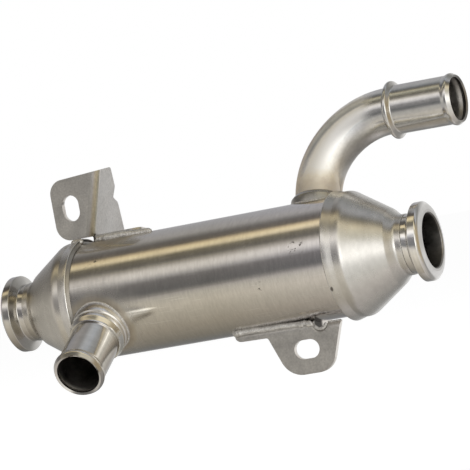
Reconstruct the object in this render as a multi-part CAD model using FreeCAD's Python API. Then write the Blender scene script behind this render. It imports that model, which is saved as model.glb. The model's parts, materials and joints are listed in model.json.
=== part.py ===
import FreeCAD, Part
import math
import os

# EGR cooler: a shell-and-tube gas cooler of welded stainless steel sheet and tube.
# Sizes are in millimetres. The origin is the centre of the inlet flange's gas face.
# +X runs along the shell to the outlet flange, +Y points away from the side with the
# coolant spigot, and +Z is up.

Vector = FreeCAD.Vector
ORIGIN = Vector(0, 0, 0)
X_AXIS = Vector(1, 0, 0)
Y_AXIS = Vector(0, 1, 0)
Z_AXIS = Vector(0, 0, 1)

# Whole cooler
overall_length = 233.3  # between the two gas faces
slip_clearance = 0.05  # all round, between pieces that slip into one another
seat_clearance = 0.05  # under pieces that sit on the shell

# Shell
shell_outer_r = 30.0
shell_wall = 1.5
shell_end_gap = 0.3  # from the cone's inner blend to the shell's end

# Flanges, the same at both ends; lengths run inwards from the gas face
flange_bore_r = 13.5
bore_chamfer = 0.6
land_width = 1.3  # flat sealing land beside the chamfer
face_relief_depth = 1.0
face_relief_width = 3.05
rim_chamfer_depth = 1.2
rim_chamfer_width = 1.25
rim_width = 3.7
rim_back_edge_r = 0.4
flange_back_taper_length = 2.4
hub_wall = 1.4
hub_length = 3.1
hub_fillet_r = 0.8

# Cones, the same at both ends
cone_wall = 1.3
neck_step = 0.4  # the cone's neck is this much wider inside than the flange's bore
neck_length = 3.4
neck_fillet_r = 2.5
shoulder_length = 3.9
shoulder_rise = 3.9
shoulder_fillet_r = 4.0
cone_angle = 33.0  # from the axis
skirt_blend_r = 9.0
skirt_land = 3.8
skirt_flare_length = 4.9
skirt_flare_rise = 1.35
flare_fillet_r = 1.5
lip_chamfer = 0.4
braze_set_back = 0.2  # inside the skirt's lip
braze_toe = 1.3  # how far the braze runs out along the shell

# Headers: dished tube plates in the shell's ends
header_plate = 1.5
header_rim_wall = 1.5
header_rim_length = 5.0

# Gas tubes, in a hexagonal bundle
tube_outer_r = 4.0
tube_wall = 0.5
bundle_gap = 2.5  # between the outermost tubes and the shell
tube_rings = 2  # rings of tubes round the middle one
tube_proud = 1.0  # past the header's gas side

# Baffles
baffle_plate = 1.0
baffle_spacing = 46.0
baffle_shell_gap = 0.3
baffle_tube_gap = 0.1
baffle_window_rows = 1.5  # rows of tubes from the middle to the window's edge

# Coolant pipes
pipe_wall = 1.2
hose_outer_r = 12.33
end_bead_rise = 0.8
end_bead_length = 5.0
end_bead_slope = 2.0
end_bead_fillet_r = 2.5
mouth_turn_in = 1.2

# Coolant inlet: a straight spigot
inlet_clock = 119.2  # degrees about +X, from straight up towards -Y
inlet_pipe_reach = 39.0  # from the shell's crown line to the mouth

# Coolant outlet: a bent pipe
outlet_clock = -26.1
bent_pipe_outer_r = 11.76
bend_start_reach = 5.5  # from the shell's crown line to the bend
bend_r = 38.5
bend_angle = 92.0
bend_swing = -1.8  # turns the bend's plane about the pipe's foot
stop_bead_r = 14.65
stop_bead_width = 4.6
stop_bead_crown = 1.5
stop_bead_fillet_r = 1.0
stop_bead_set_back = 0.4
hose_length = 37.3

# Inlet collar: from the shell's crown line up, a boss, a groove, a ring and a tapered sleeve
inlet_lip_bite = 1.34  # how far the boss cuts into the inlet skirt's lip
inlet_boss_wall = 2.1
inlet_boss_height = 2.6
inlet_groove_wall = 1.3
inlet_groove_run_in = 0.7
inlet_groove_width = 0.7
inlet_groove_run_out = 0.6
inlet_ring_wall = 1.85
inlet_ring_width = 2.2
inlet_taper_length = 2.6
inlet_sleeve_wall = 0.65
inlet_sleeve_length = 0.8

# Outlet collar: a low flare
outlet_lip_gap = 0.63  # from the outlet skirt's lip to the collar
outlet_collar_wall = 2.2
outlet_boss_height = 1.4
outlet_collar_top_wall = 0.9
outlet_collar_height = 3.2
collar_fillet_r = 0.5
collar_weld_leg = 0.4
collar_weld_height = 1.3
collar_lip_relief = 0.3

# Sheet brackets
bracket_sheet = 3.2
bend_inner_r = 1.0
slot_width = 9.5
slot_length = 13.5

# Upper bracket: a slotted plate, a gusset behind it and a foot on the shell. Lengths run
# from the inlet skirt's lip, and heights from the shell's crown line.
upper_plate_y = -2.0  # the plate's front face
upper_plate_left = -13.26
upper_plate_height_left = 34.0
upper_plate_height_right = 35.6
upper_top_rise = 3.0  # degrees that the top edges rise towards the gusset's rear
upper_plate_top_corner_r = 7.5
upper_plate_low_corner_r = 8.0
upper_lip_gap = 0.1  # between the plate's lower edge and the skirt's lip
upper_lean = 16.1  # degrees from upright, of the fold between plate and gusset
upper_fold_at_crown = 5.4  # where the fold's line would meet the shell's crown line
upper_slot_along = -2.96
upper_slot_height = 19.0
gusset_notch_depth = 6.5
gusset_notch_r = 1.8
# the gusset's rear outline, as (y, height, corner radius), from its top to its heel
gusset_outline = [
    (13.8, 36.5, 3.0),
    (20.9, 26.4, 2.5),
    (19.7, 20.9, 1.0),
    (25.8, 18.2, 6.0),
    (38.6, 0.4, 20.0),
    (38.8, -12.0, 4.0),
]
foot_right = 31.94
foot_corner_r = 7.5
foot_left = 7.94
foot_back_angle = 64.0  # degrees from the crown

# Lower bracket: a slotted plate hung from a flange that hugs the shell. Lengths run back
# from the outlet skirt's lip, and drops from the shell's lowest line.
lower_plate_y = -13.5
lower_tail_back = 61.44
lower_tail_drop = 2.9
lower_tail_corner_r = 3.5
lower_fold_back = 18.84
lower_notch_r = 3.7
lower_notch_drop = -0.4
lower_notch_rim = 1.3  # width of the notch's bevelled rim
lower_plate_back = 4.04
lower_free_edge_drop = 0.6
lower_free_edge_r = 2.8
lower_slot_back = 24.24
lower_slot_drop = 11.8
# the hanging plate's outline, as (back, drop, corner radius), from the tail to the right edge
lower_plate_outline = [
    (43.84, 3.2, 1.5),
    (35.74, 24.1, 12.0),
    (12.64, 24.1, 10.0),
]
lower_fold_r = 3.5
lower_flange_back_angle = 42.0  # degrees past the shell's lowest line

# Weld beads of the brackets, with lengths run as their bracket's are
bead_r = 1.9
plate_bead_r = 1.7
foot_bead_left = 9.24
foot_bead_right = 30.24
plate_bead_left = -4.46
plate_bead_right = -0.66
seam_bead_back = 60.64
seam_bead_length = 39.6
seam_bead_inset = 1.0  # behind the lower plate's front face
plate_bead_stand = 1.2  # in front of the upper plate's front face

# Sizes that follow from the ones above
shell_inner_r = shell_outer_r - shell_wall
tube_pitch = (shell_inner_r - bundle_gap - tube_outer_r) / tube_rings
hub_outer_r = flange_bore_r + hub_wall
land_r = flange_bore_r + bore_chamfer + land_width
relief_r = land_r + face_relief_width
rim_r = relief_r + rim_chamfer_width
rim_front = face_relief_depth + rim_chamfer_depth
rim_back = rim_front + rim_width
hub_start = rim_back + flange_back_taper_length
flange_length = hub_start + hub_length
neck_outer_r = flange_bore_r + neck_step + cone_wall
skirt_inner_r = shell_outer_r + slip_clearance
skirt_outer_r = skirt_inner_r + cone_wall
shoulder_start = flange_length + neck_length
shoulder_end = shoulder_start + shoulder_length
shoulder_r = neck_outer_r + shoulder_rise
skirt_start = shoulder_end + (skirt_outer_r - shoulder_r) / math.tan(math.radians(cone_angle))
skirt_crease = skirt_start + skirt_land
skirt_lip = skirt_crease + skirt_flare_length
lip_outer_r = skirt_outer_r + skirt_flare_rise
lip_room_r = lip_outer_r + upper_lip_gap
braze_end = skirt_lip - braze_set_back
half_turn = math.tan(math.radians(cone_angle / 2))
shell_end = skirt_start + skirt_blend_r * half_turn + shell_end_gap
header_plate_start = shell_end + header_rim_length - header_plate
tube_start = header_plate_start - tube_proud
outlet_lip = overall_length - skirt_lip
inlet_collar_bore_r = hose_outer_r + slip_clearance
outlet_collar_bore_r = bent_pipe_outer_r + slip_clearance
inlet_foot_r = inlet_collar_bore_r + inlet_boss_wall
outlet_foot_r = outlet_collar_bore_r + outlet_collar_wall
inlet_port_x = skirt_lip + inlet_foot_r - inlet_lip_bite
outlet_port_x = outlet_lip - outlet_lip_gap - outlet_foot_r
inlet_mouth = shell_outer_r + inlet_pipe_reach  # from the shell's axis
bend_start = shell_outer_r + bend_start_reach
fold_at_axis = skirt_lip + upper_fold_at_crown - shell_outer_r * math.tan(math.radians(upper_lean))
shell_seat_r = shell_outer_r + seat_clearance
sheet_outer_r = shell_seat_r + bracket_sheet
beyond = 10.0  # how far cutting shapes reach past what they cut


def rounded_wire(corners, closed):
    """A wire in the XY plane through corners (a, b, radius), rounded by tangent arcs."""
    points = [Vector(a, b, 0) for a, b, radius in corners]
    count = len(points)
    starts = []
    arcs = []
    ends = []
    for index, (a, b, radius) in enumerate(corners):
        point = points[index]
        inside = closed or 0 < index < count - 1
        if radius == 0 or not inside:
            starts.append(point)
            arcs.append(None)
            ends.append(point)
            continue
        back = points[index - 1] - point
        ahead = points[(index + 1) % count] - point
        half = back.getAngle(ahead) / 2
        reach = min(radius / math.tan(half), 0.49 * back.Length, 0.49 * ahead.Length)
        back.normalize()
        ahead.normalize()
        middle_line = back + ahead
        middle_line.normalize()
        fitted = reach * math.tan(half)
        middle = point + middle_line * (fitted / math.sin(half) - fitted)
        starts.append(point + back * reach)
        ends.append(point + ahead * reach)
        arcs.append(Part.Arc(starts[-1], middle, ends[-1]).toShape())
    edges = []
    for index in range(count):
        if arcs[index]:
            edges.append(arcs[index])
        following = (index + 1) % count
        last = index == count - 1
        if (closed or not last) and ends[index].distanceToPoint(starts[following]) > 1e-6:
            edges.append(Part.makeLine(ends[index], starts[following]))
    return edges


def offset_corners(corners, distance):
    """The corners of a line parallel to an open one, at a distance to its right."""
    points = [Vector(a, b, 0) for a, b, radius in corners]
    directions = []
    for start, end in zip(points, points[1:]):
        direction = end - start
        direction.normalize()
        directions.append(direction)
    moved = []
    for index, (a, b, radius) in enumerate(corners):
        before = directions[max(index - 1, 0)]
        after = directions[min(index, len(directions) - 1)]
        normal = Vector(before.y + after.y, -before.x - after.x, 0)
        normal.normalize()
        stretch = distance / normal.dot(Vector(before.y, -before.x, 0))
        point = points[index] + normal * stretch
        turn = before.cross(after).z
        if turn > 0:
            moved.append((point.x, point.y, radius + distance))
        else:
            moved.append((point.x, point.y, max(radius - distance, 0)))
    return moved


def turned(corners):
    """A solid turned about X from a closed profile of (x, r, radius) corners."""
    profile = Part.Face(Part.Wire(rounded_wire(corners, True)))
    return profile.revolve(ORIGIN, X_AXIS, 360)


def spun_sheet(outer_corners, wall):
    """A sheet of even wall turned about X, from its outer line of (x, r, radius) corners."""
    outer = rounded_wire(outer_corners, False)
    inner_corners = offset_corners(outer_corners, wall)
    inner = rounded_wire(inner_corners, False)
    first_outer = Vector(outer_corners[0][0], outer_corners[0][1], 0)
    last_outer = Vector(outer_corners[-1][0], outer_corners[-1][1], 0)
    first_inner = Vector(inner_corners[0][0], inner_corners[0][1], 0)
    last_inner = Vector(inner_corners[-1][0], inner_corners[-1][1], 0)
    caps = [Part.makeLine(first_outer, first_inner), Part.makeLine(last_outer, last_inner)]
    edges = Part.__sortEdges__(outer + inner + caps)
    return Part.Face(Part.Wire(edges)).revolve(ORIGIN, X_AXIS, 360)


def rod(radius, start, end, axis=X_AXIS):
    """A round bar about an axis through the origin, from one distance to another."""
    return Part.makeCylinder(radius, end - start, axis * start, axis)


def ring(outer_r, inner_r, start, end, axis=X_AXIS):
    """A plain tube about an axis through the origin."""
    bore = rod(inner_r, start - beyond, end + beyond, axis)
    return rod(outer_r, start, end, axis).cut(bore)


def at_outlet(shape):
    """A copy of an inlet-end piece, turned round to the outlet end."""
    copy = shape.copy()
    copy.rotate(Vector(overall_length / 2, 0, 0), Z_AXIS, 180)
    return copy


def upright(shape):
    """A piece made along X, stood up along Z."""
    copy = shape.copy()
    copy.rotate(ORIGIN, Y_AXIS, -90)
    return copy


def at_port(shape, port_x, clock):
    """A piece made along Z, carried to a coolant port."""
    copy = shape.copy()
    copy.rotate(ORIGIN, X_AXIS, clock)
    copy.translate(Vector(port_x, 0, 0))
    return copy


def flange():
    """A turned flange with its gas face at x 0."""
    return turned([
        (0, flange_bore_r + bore_chamfer, 0),
        (0, land_r, 0),
        (face_relief_depth, relief_r, 0),
        (rim_front, rim_r, 0),
        (rim_back, rim_r, rim_back_edge_r),
        (hub_start, hub_outer_r, hub_fillet_r),
        (flange_length, hub_outer_r, 0),
        (flange_length, flange_bore_r, 0),
        (bore_chamfer, flange_bore_r, 0),
    ])


def cone():
    """A spun reducer from the flange's neck to a flared skirt with a dressed lip."""
    sheet = spun_sheet([
        (flange_length, neck_outer_r, 0),
        (shoulder_start, neck_outer_r, neck_fillet_r),
        (shoulder_end, shoulder_r, shoulder_fillet_r),
        (skirt_start, skirt_outer_r, skirt_blend_r),
        (skirt_crease, skirt_outer_r, flare_fillet_r),
        (skirt_lip, lip_outer_r, 0),
    ], cone_wall)
    lip_edges = [edge for edge in sheet.Edges if edge.BoundBox.XMin > skirt_lip - lip_chamfer]
    return sheet.makeChamfer(lip_chamfer, lip_edges)


def skirt_braze():
    """The braze fillet in the skirt's flared mouth."""
    flare_slope = skirt_flare_rise / skirt_flare_length
    start = skirt_crease + flare_fillet_r
    rise = flare_slope * (braze_end - skirt_crease)
    low_rise = flare_slope * (start - skirt_crease)
    return turned([
        (start, shell_seat_r, 0),
        (start, shell_seat_r + low_rise / 2, 0),
        (braze_end, shell_seat_r + rise - seat_clearance, 0),
        (braze_end + braze_toe, shell_seat_r, 0),
    ])


def tube_places():
    """The (y, z) centres of the gas tubes, row by row."""
    row_height = tube_pitch * math.sin(math.radians(60))
    places = []
    for row in range(-tube_rings, tube_rings + 1):
        tubes = 2 * tube_rings + 1 - abs(row)
        for index in range(tubes):
            places.append(((index - (tubes - 1) / 2) * tube_pitch, row * row_height))
    return places


def tube_bores(radius, start, end, places):
    """Round bars along X at each tube's place, to cut holes with."""
    return [
        Part.makeCylinder(radius, end - start, Vector(start, y, z), X_AXIS)
        for y, z in places
    ]


def header():
    """A dished tube plate, its rim flush with the shell's end."""
    rim_r_outer = shell_inner_r - slip_clearance
    plate_end = header_plate_start + header_plate
    blank = rod(rim_r_outer, shell_end, plate_end)
    dish = rod(rim_r_outer - header_rim_wall, shell_end - beyond, header_plate_start)
    holes = tube_bores(
        tube_outer_r + slip_clearance, shell_end, plate_end + beyond, tube_places()
    )
    return blank.cut(dish).cut(holes)


def gas_tube(y, z):
    """One thin tube of the bundle."""
    tube = ring(tube_outer_r, tube_outer_r - tube_wall, tube_start, overall_length - tube_start)
    tube.translate(Vector(0, y, z))
    return tube


def baffle(middle_x, window_side):
    """A plate across the shell with an open window above (1) or below (-1)."""
    start = middle_x - baffle_plate / 2
    end = middle_x + baffle_plate / 2
    plate = rod(shell_inner_r - baffle_shell_gap, start, end)
    window_edge = baffle_window_rows * tube_pitch * math.sin(math.radians(60))
    window = Part.makeBox(
        baffle_plate + 2 * beyond, 2 * shell_outer_r, shell_outer_r,
        Vector(start - beyond, -shell_outer_r, window_edge),
    )
    if window_side < 0:
        window.rotate(Vector(middle_x, 0, 0), X_AXIS, 180)
    held = [(y, z) for y, z in tube_places() if z * window_side < window_edge]
    holes = tube_bores(tube_outer_r + baffle_tube_gap, start - beyond, end + beyond, held)
    return plate.cut(window).cut(holes)


def shell_tube():
    """The shell, with a port for each coolant pipe."""
    shell = ring(shell_outer_r, shell_inner_r, shell_end, overall_length - shell_end)
    inlet_port = rod(inlet_collar_bore_r, 0, shell_outer_r + beyond, Z_AXIS)
    outlet_port = rod(outlet_collar_bore_r, 0, shell_outer_r + beyond, Z_AXIS)
    shell = shell.cut(at_port(inlet_port, inlet_port_x, inlet_clock))
    return shell.cut(at_port(outlet_port, outlet_port_x, outlet_clock))


def rolled_end(mouth):
    """The last corners of a hose end: a hollow bead that turns in at the mouth."""
    bead_r_outer = hose_outer_r + end_bead_rise
    start = mouth - end_bead_length
    return [
        (start, hose_outer_r, end_bead_fillet_r),
        (start + end_bead_slope, bead_r_outer, end_bead_fillet_r),
        (mouth - end_bead_slope, bead_r_outer, end_bead_fillet_r),
        (mouth, bead_r_outer - mouth_turn_in, 0),
    ]


def coolant_inlet_pipe():
    """The straight spigot, cut at its foot to the shell's inside."""
    inner_end = shell_inner_r - beyond
    pipe = spun_sheet([(inner_end, hose_outer_r, 0)] + rolled_end(inlet_mouth), pipe_wall)
    pipe = at_port(upright(pipe), inlet_port_x, inlet_clock)
    return pipe.cut(rod(shell_inner_r, 0, overall_length))


def hose_stretch():
    """The outlet pipe's straight end along X, from the bend's end to its mouth."""
    crown_start = stop_bead_set_back + (stop_bead_width - stop_bead_crown) / 2
    crown_end = crown_start + stop_bead_crown
    corners = [
        (0, bent_pipe_outer_r, 0),
        (stop_bead_set_back, bent_pipe_outer_r, stop_bead_fillet_r),
        (crown_start, stop_bead_r, stop_bead_fillet_r),
        (crown_end, stop_bead_r, stop_bead_fillet_r),
        (stop_bead_set_back + stop_bead_width, hose_outer_r, stop_bead_fillet_r),
    ]
    return spun_sheet(corners + rolled_end(hose_length), pipe_wall)


def coolant_outlet_pipe():
    """The bent pipe: a foot in the shell, one bend, and the hose stretch."""
    bore_r = bent_pipe_outer_r - pipe_wall
    foot = ring(bent_pipe_outer_r, bore_r, shell_inner_r - beyond, bend_start, Z_AXIS)
    section = Part.Face([
        Part.Wire(Part.makeCircle(bent_pipe_outer_r, Vector(0, 0, bend_start), Z_AXIS)),
        Part.Wire(Part.makeCircle(bore_r, Vector(0, 0, bend_start), Z_AXIS)),
    ])
    bend = section.revolve(Vector(bend_r, 0, bend_start), Y_AXIS, bend_angle)
    turn = math.radians(bend_angle)
    stretch = hose_stretch()
    stretch.rotate(ORIGIN, Y_AXIS, bend_angle - 90)
    stretch.translate(Vector(
        bend_r - bend_r * math.cos(turn), 0, bend_start + bend_r * math.sin(turn)
    ))
    pipe = foot.fuse([bend, stretch]).removeSplitter()
    pipe.rotate(ORIGIN, Z_AXIS, bend_swing)
    pipe = at_port(pipe, outlet_port_x, outlet_clock)
    return pipe.cut(rod(shell_inner_r, 0, overall_length))


def collar(bore_r, outline, port_x, clock):
    """A collar round a pipe's foot, turned from an outline and cut to the shell."""
    base = shell_inner_r - beyond
    foot_r = outline[0][1]
    top = outline[-1][0]
    body = turned([(base, bore_r, 0), (base, foot_r, 0)] + outline + [(top, bore_r, 0)])
    body = at_port(upright(body), port_x, clock)
    return body.cut(rod(shell_seat_r, 0, overall_length))


def inlet_collar():
    """The boss, groove, ring and tapered sleeve round the spigot's foot."""
    bore_r = inlet_collar_bore_r
    groove_start = shell_outer_r + inlet_boss_height + inlet_groove_run_in
    groove_end = groove_start + inlet_groove_width
    ring_start = groove_end + inlet_groove_run_out
    ring_end = ring_start + inlet_ring_width
    sleeve_start = ring_end + inlet_taper_length
    return collar(bore_r, [
        (shell_outer_r + inlet_boss_height, inlet_foot_r, collar_fillet_r),
        (groove_start, bore_r + inlet_groove_wall, collar_fillet_r),
        (groove_end, bore_r + inlet_groove_wall, collar_fillet_r),
        (ring_start, bore_r + inlet_ring_wall, collar_fillet_r),
        (ring_end, bore_r + inlet_ring_wall, collar_fillet_r),
        (sleeve_start, bore_r + inlet_sleeve_wall, collar_fillet_r),
        (sleeve_start + inlet_sleeve_length, bore_r + inlet_sleeve_wall, 0),
    ], inlet_port_x, inlet_clock)


def outlet_collar():
    """The low flared collar round the bent pipe's foot."""
    top_r = outlet_collar_bore_r + outlet_collar_top_wall
    return collar(outlet_collar_bore_r, [
        (shell_outer_r + outlet_boss_height, outlet_foot_r, collar_fillet_r),
        (shell_outer_r + outlet_collar_height, top_r, 0),
    ], outlet_port_x, outlet_clock)


def collar_weld(inner_r, port_x, clock, neighbours):
    """The fillet weld round a collar's foot, following the shell's saddle."""
    low = shell_inner_r - beyond
    high = shell_outer_r + 2 * collar_weld_height
    skin = Part.makeCone(
        inner_r + 2 * collar_weld_leg, inner_r, high - low, Vector(0, 0, low), Z_AXIS
    )
    skin = at_port(skin.cut(rod(inner_r, low, high, Z_AXIS)), port_x, clock)
    reach = inner_r + 2 * collar_weld_leg + beyond
    layer = ring(
        shell_seat_r + collar_weld_height, shell_seat_r, port_x - reach, port_x + reach
    )
    return skin.common(layer).cut(neighbours)


def slot_cutter(x, z, along):
    """A round-ended slot cutter that runs along Y."""
    straight = slot_length - slot_width
    half = along * (straight / 2)
    centre = Vector(x, -shell_outer_r, z)
    ends = [
        Part.makeCylinder(slot_width / 2, 2 * shell_outer_r, centre + half, Y_AXIS),
        Part.makeCylinder(slot_width / 2, 2 * shell_outer_r, centre - half, Y_AXIS),
    ]
    size_x = straight if along.x else slot_width
    size_z = slot_width if along.x else straight
    corner = centre - Vector(size_x / 2, 0, size_z / 2)
    return Part.makeBox(size_x, 2 * shell_outer_r, size_z, corner).fuse(ends)


def prism(corners, length):
    """A closed outline in the XY plane, extruded along Z."""
    return Part.Face(Part.Wire(rounded_wire(corners, True))).extrude(Z_AXIS * length)


def prism_along_y(corners, start, end):
    """A solid square to Y, from its (x, z, radius) outline."""
    blank = prism(corners, end - start)
    blank.rotate(ORIGIN, X_AXIS, 90)
    blank.translate(Vector(0, end, 0))
    return blank


def prism_along_x(corners, start, end):
    """A solid square to X, from its (y, z, radius) outline."""
    blank = prism(corners, end - start)
    blank.rotate(ORIGIN, Vector(1, 1, 1), 120)
    blank.translate(Vector(start, 0, 0))
    return blank


def saddle(start, end, front_angle, back_angle):
    """A sheet bent round the shell, between two angles from the crown towards +Y."""
    section = Part.Face(Part.makePolygon([
        Vector(start, 0, shell_seat_r),
        Vector(end, 0, shell_seat_r),
        Vector(end, 0, sheet_outer_r),
        Vector(start, 0, sheet_outer_r),
        Vector(start, 0, shell_seat_r),
    ]))
    section.rotate(ORIGIN, X_AXIS, -front_angle)
    return section.revolve(ORIGIN, -X_AXIS, back_angle - front_angle)


def edges_beside(shape, point, direction):
    """The edges of a shape that lie on one straight line."""
    found = []
    for edge in shape.Edges:
        apart = [
            (vertex.Point - point).cross(direction).Length for vertex in edge.Vertexes
        ]
        if len(apart) == 2 and max(apart) < 0.01:
            found.append(edge)
    return found


def upper_bracket():
    """The three-plane bracket: slotted plate, gusset and foot."""
    lean = math.radians(upper_lean)
    fold_up = Vector(math.sin(lean), 0, math.cos(lean))
    left = skirt_lip + upper_plate_left
    right = skirt_lip + foot_right
    top_left = shell_outer_r + upper_plate_height_left
    top_right = shell_outer_r + upper_plate_height_right
    fold_top_x = fold_at_axis + top_right * math.tan(lean)
    fold_low_x = fold_at_axis + lip_room_r * math.tan(lean)
    plate = prism_along_y([
        (left, top_left, upper_plate_top_corner_r),
        (fold_top_x, top_right, 0),
        (fold_low_x, lip_room_r, 0),
        (left, lip_room_r, upper_plate_low_corner_r),
    ], upper_plate_y, upper_plate_y + bracket_sheet)

    heel = math.radians(foot_back_angle)
    heel_y = shell_inner_r * math.sin(heel)
    heel_z = shell_inner_r * math.cos(heel)
    outline = [(upper_plate_y, top_right, 0)]
    outline += [(y, shell_outer_r + height, radius) for y, height, radius in gusset_outline]
    outline += [(heel_y, heel_z, 0), (upper_plate_y, heel_z, 0)]
    flat = [(y, z / math.cos(lean), radius) for y, z, radius in outline]
    gusset = prism(flat, -bracket_sheet)
    gusset.Placement = FreeCAD.Placement(FreeCAD.Matrix(
        0, fold_up.x, math.cos(lean), fold_at_axis,
        1, 0, 0, 0,
        0, fold_up.z, -math.sin(lean), 0,
        0, 0, 0, 1,
    ))
    above = prism_along_y([
        (left, top_left, 0),
        (fold_top_x, top_right, 0),
        (fold_top_x, top_right + beyond, 0),
        (left, top_right + beyond, 0),
    ], -beyond, shell_outer_r + 2 * beyond)
    above.rotate(Vector(0, upper_plate_y, top_right), X_AXIS, upper_top_rise)
    below = prism_along_x([
        (-beyond, 0, 0),
        (gusset_notch_depth, 0, 0),
        (gusset_notch_depth, lip_room_r, gusset_notch_r),
        (-beyond, lip_room_r, 0),
    ], 0, right)

    folded = plate.fuse(gusset).cut([above, below]).removeSplitter()
    outer_corner = Vector(fold_at_axis, upper_plate_y, 0)
    step_in = Vector(-bracket_sheet / math.cos(lean), bracket_sheet, 0)
    folded = folded.makeFillet(
        bend_inner_r + bracket_sheet, edges_beside(folded, outer_corner, fold_up)
    )
    folded = folded.makeFillet(
        bend_inner_r, edges_beside(folded, outer_corner + step_in, fold_up)
    )

    plan = prism([
        (fold_at_axis, upper_plate_y, 0),
        (right, upper_plate_y, foot_corner_r),
        (right, shell_outer_r + beyond, 0),
        (fold_at_axis, shell_outer_r + beyond, 0),
    ], shell_outer_r + beyond)
    foot = saddle(fold_at_axis, right + beyond, -beyond, foot_back_angle).common(plan)
    reach = 2 * shell_outer_r
    left_space = Part.makeBox(
        reach, 2 * reach, 2 * reach, Vector(-reach - bracket_sheet, -reach, -reach)
    )
    left_space.rotate(ORIGIN, Y_AXIS, upper_lean)
    left_space.translate(Vector(fold_at_axis, 0, 0))
    notch = Part.makeBox(
        skirt_lip + foot_left, gusset_notch_depth + beyond, shell_outer_r,
        Vector(0, -beyond, shell_inner_r - beyond),
    )
    foot = foot.cut([left_space, notch])
    lip_room = rod(lip_room_r, 0, braze_end + braze_toe + upper_lip_gap)
    bracket = folded.fuse(foot).removeSplitter()
    return bracket.cut([
        rod(shell_seat_r, 0, overall_length), lip_room,
        slot_cutter(skirt_lip + upper_slot_along, shell_outer_r + upper_slot_height, Z_AXIS),
    ])


def lower_bracket():
    """The hanging bracket: slotted plate, fold and a flange under the shell."""
    tail_left = outlet_lip - lower_tail_back
    tail_low = -shell_outer_r - lower_tail_drop
    free_edge = -shell_outer_r - lower_free_edge_drop
    notch_x = outlet_lip - lower_fold_back + lower_notch_r
    hanging = [
        (outlet_lip - back, -shell_outer_r - drop, radius)
        for back, drop, radius in lower_plate_outline
    ]
    inner_fold_r = lower_fold_r - bracket_sheet
    fold_y = lower_plate_y + lower_fold_r
    # the fold's centre lies on a circle about the shell's axis, below it
    fold_z = -math.sqrt((shell_seat_r + lower_fold_r) ** 2 - fold_y ** 2)
    plate = prism_along_y([(tail_left, fold_z, 0), (tail_left, tail_low, 0)] + hanging + [
        (outlet_lip - lower_plate_back, free_edge, 0),
        (notch_x, free_edge, 0),
        (notch_x, fold_z, 0),
    ], lower_plate_y, lower_plate_y + bracket_sheet)

    def on_fold(radius, angle):
        """A point of the fold, at an angle from the plate's front face."""
        turn = math.radians(angle)
        return Vector(
            tail_left, fold_y - radius * math.cos(turn), fold_z + radius * math.sin(turn)
        )

    def on_shell(radius, angle):
        """A point at an angle past the shell's lowest line."""
        turn = math.radians(angle)
        return Vector(tail_left, radius * math.sin(turn), -radius * math.cos(turn))

    front_angle = math.degrees(math.asin(fold_y / (shell_seat_r + lower_fold_r)))
    fold_sweep = 90 - front_angle
    middle_angle = (front_angle + lower_flange_back_angle) / 2
    wire = Part.Wire([
        Part.Arc(
            on_fold(lower_fold_r, 0), on_fold(lower_fold_r, fold_sweep / 2),
            on_fold(lower_fold_r, fold_sweep),
        ).toShape(),
        Part.Arc(
            on_shell(shell_seat_r, front_angle), on_shell(shell_seat_r, middle_angle),
            on_shell(shell_seat_r, lower_flange_back_angle),
        ).toShape(),
        Part.makeLine(
            on_shell(shell_seat_r, lower_flange_back_angle),
            on_shell(sheet_outer_r, lower_flange_back_angle),
        ),
        Part.Arc(
            on_shell(sheet_outer_r, lower_flange_back_angle), on_shell(sheet_outer_r, middle_angle),
            on_shell(sheet_outer_r, front_angle),
        ).toShape(),
        Part.Arc(
            on_fold(inner_fold_r, fold_sweep), on_fold(inner_fold_r, fold_sweep / 2),
            on_fold(inner_fold_r, 0),
        ).toShape(),
        Part.makeLine(on_fold(inner_fold_r, 0), on_fold(lower_fold_r, 0)),
    ])
    flange_piece = Part.Face(wire).extrude(X_AXIS * (lower_tail_back - lower_fold_back))
    bracket = plate.fuse(flange_piece).removeSplitter()
    edge_r = lower_free_edge_r
    free_corner = Part.makeBox(
        outlet_lip - notch_x, edge_r + beyond, edge_r + beyond,
        Vector(notch_x, lower_plate_y - beyond, free_edge - edge_r),
    ).cut(Part.makeCylinder(
        edge_r, outlet_lip - notch_x,
        Vector(notch_x, lower_plate_y + edge_r, free_edge - edge_r), X_AXIS,
    ))
    notch_centre = Vector(notch_x, lower_plate_y, -shell_outer_r - lower_notch_drop)
    notch = Part.makeCylinder(
        lower_notch_r, bracket_sheet + 2 * beyond, notch_centre - Y_AXIS * beyond, Y_AXIS
    ).fuse(Part.makeCone(
        lower_notch_r + lower_notch_rim, lower_notch_r, lower_notch_rim, notch_centre, Y_AXIS
    ))
    corner_r = lower_tail_corner_r
    corner = Part.makeBox(
        corner_r + beyond, lower_fold_r + beyond, corner_r + beyond,
        Vector(tail_left - beyond, lower_plate_y - beyond, tail_low - beyond),
    ).cut(Part.makeCylinder(
        corner_r, lower_fold_r + 2 * beyond,
        Vector(tail_left + corner_r, lower_plate_y - beyond, tail_low + corner_r), Y_AXIS,
    ))
    slot = slot_cutter(outlet_lip - lower_slot_back, -shell_outer_r - lower_slot_drop, X_AXIS)
    return bracket.cut([free_corner, notch, corner, slot])


def bead(radius, start, end, y, z, neighbours):
    """A weld bead along X with round ends, fitted against its neighbours."""
    bar = Part.makeCylinder(radius, end - start, Vector(start, y, z), X_AXIS)
    tips = [Part.makeSphere(radius, Vector(x, y, z)) for x in (start, end)]
    return bar.fuse(tips).removeSplitter().cut(neighbours)


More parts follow.
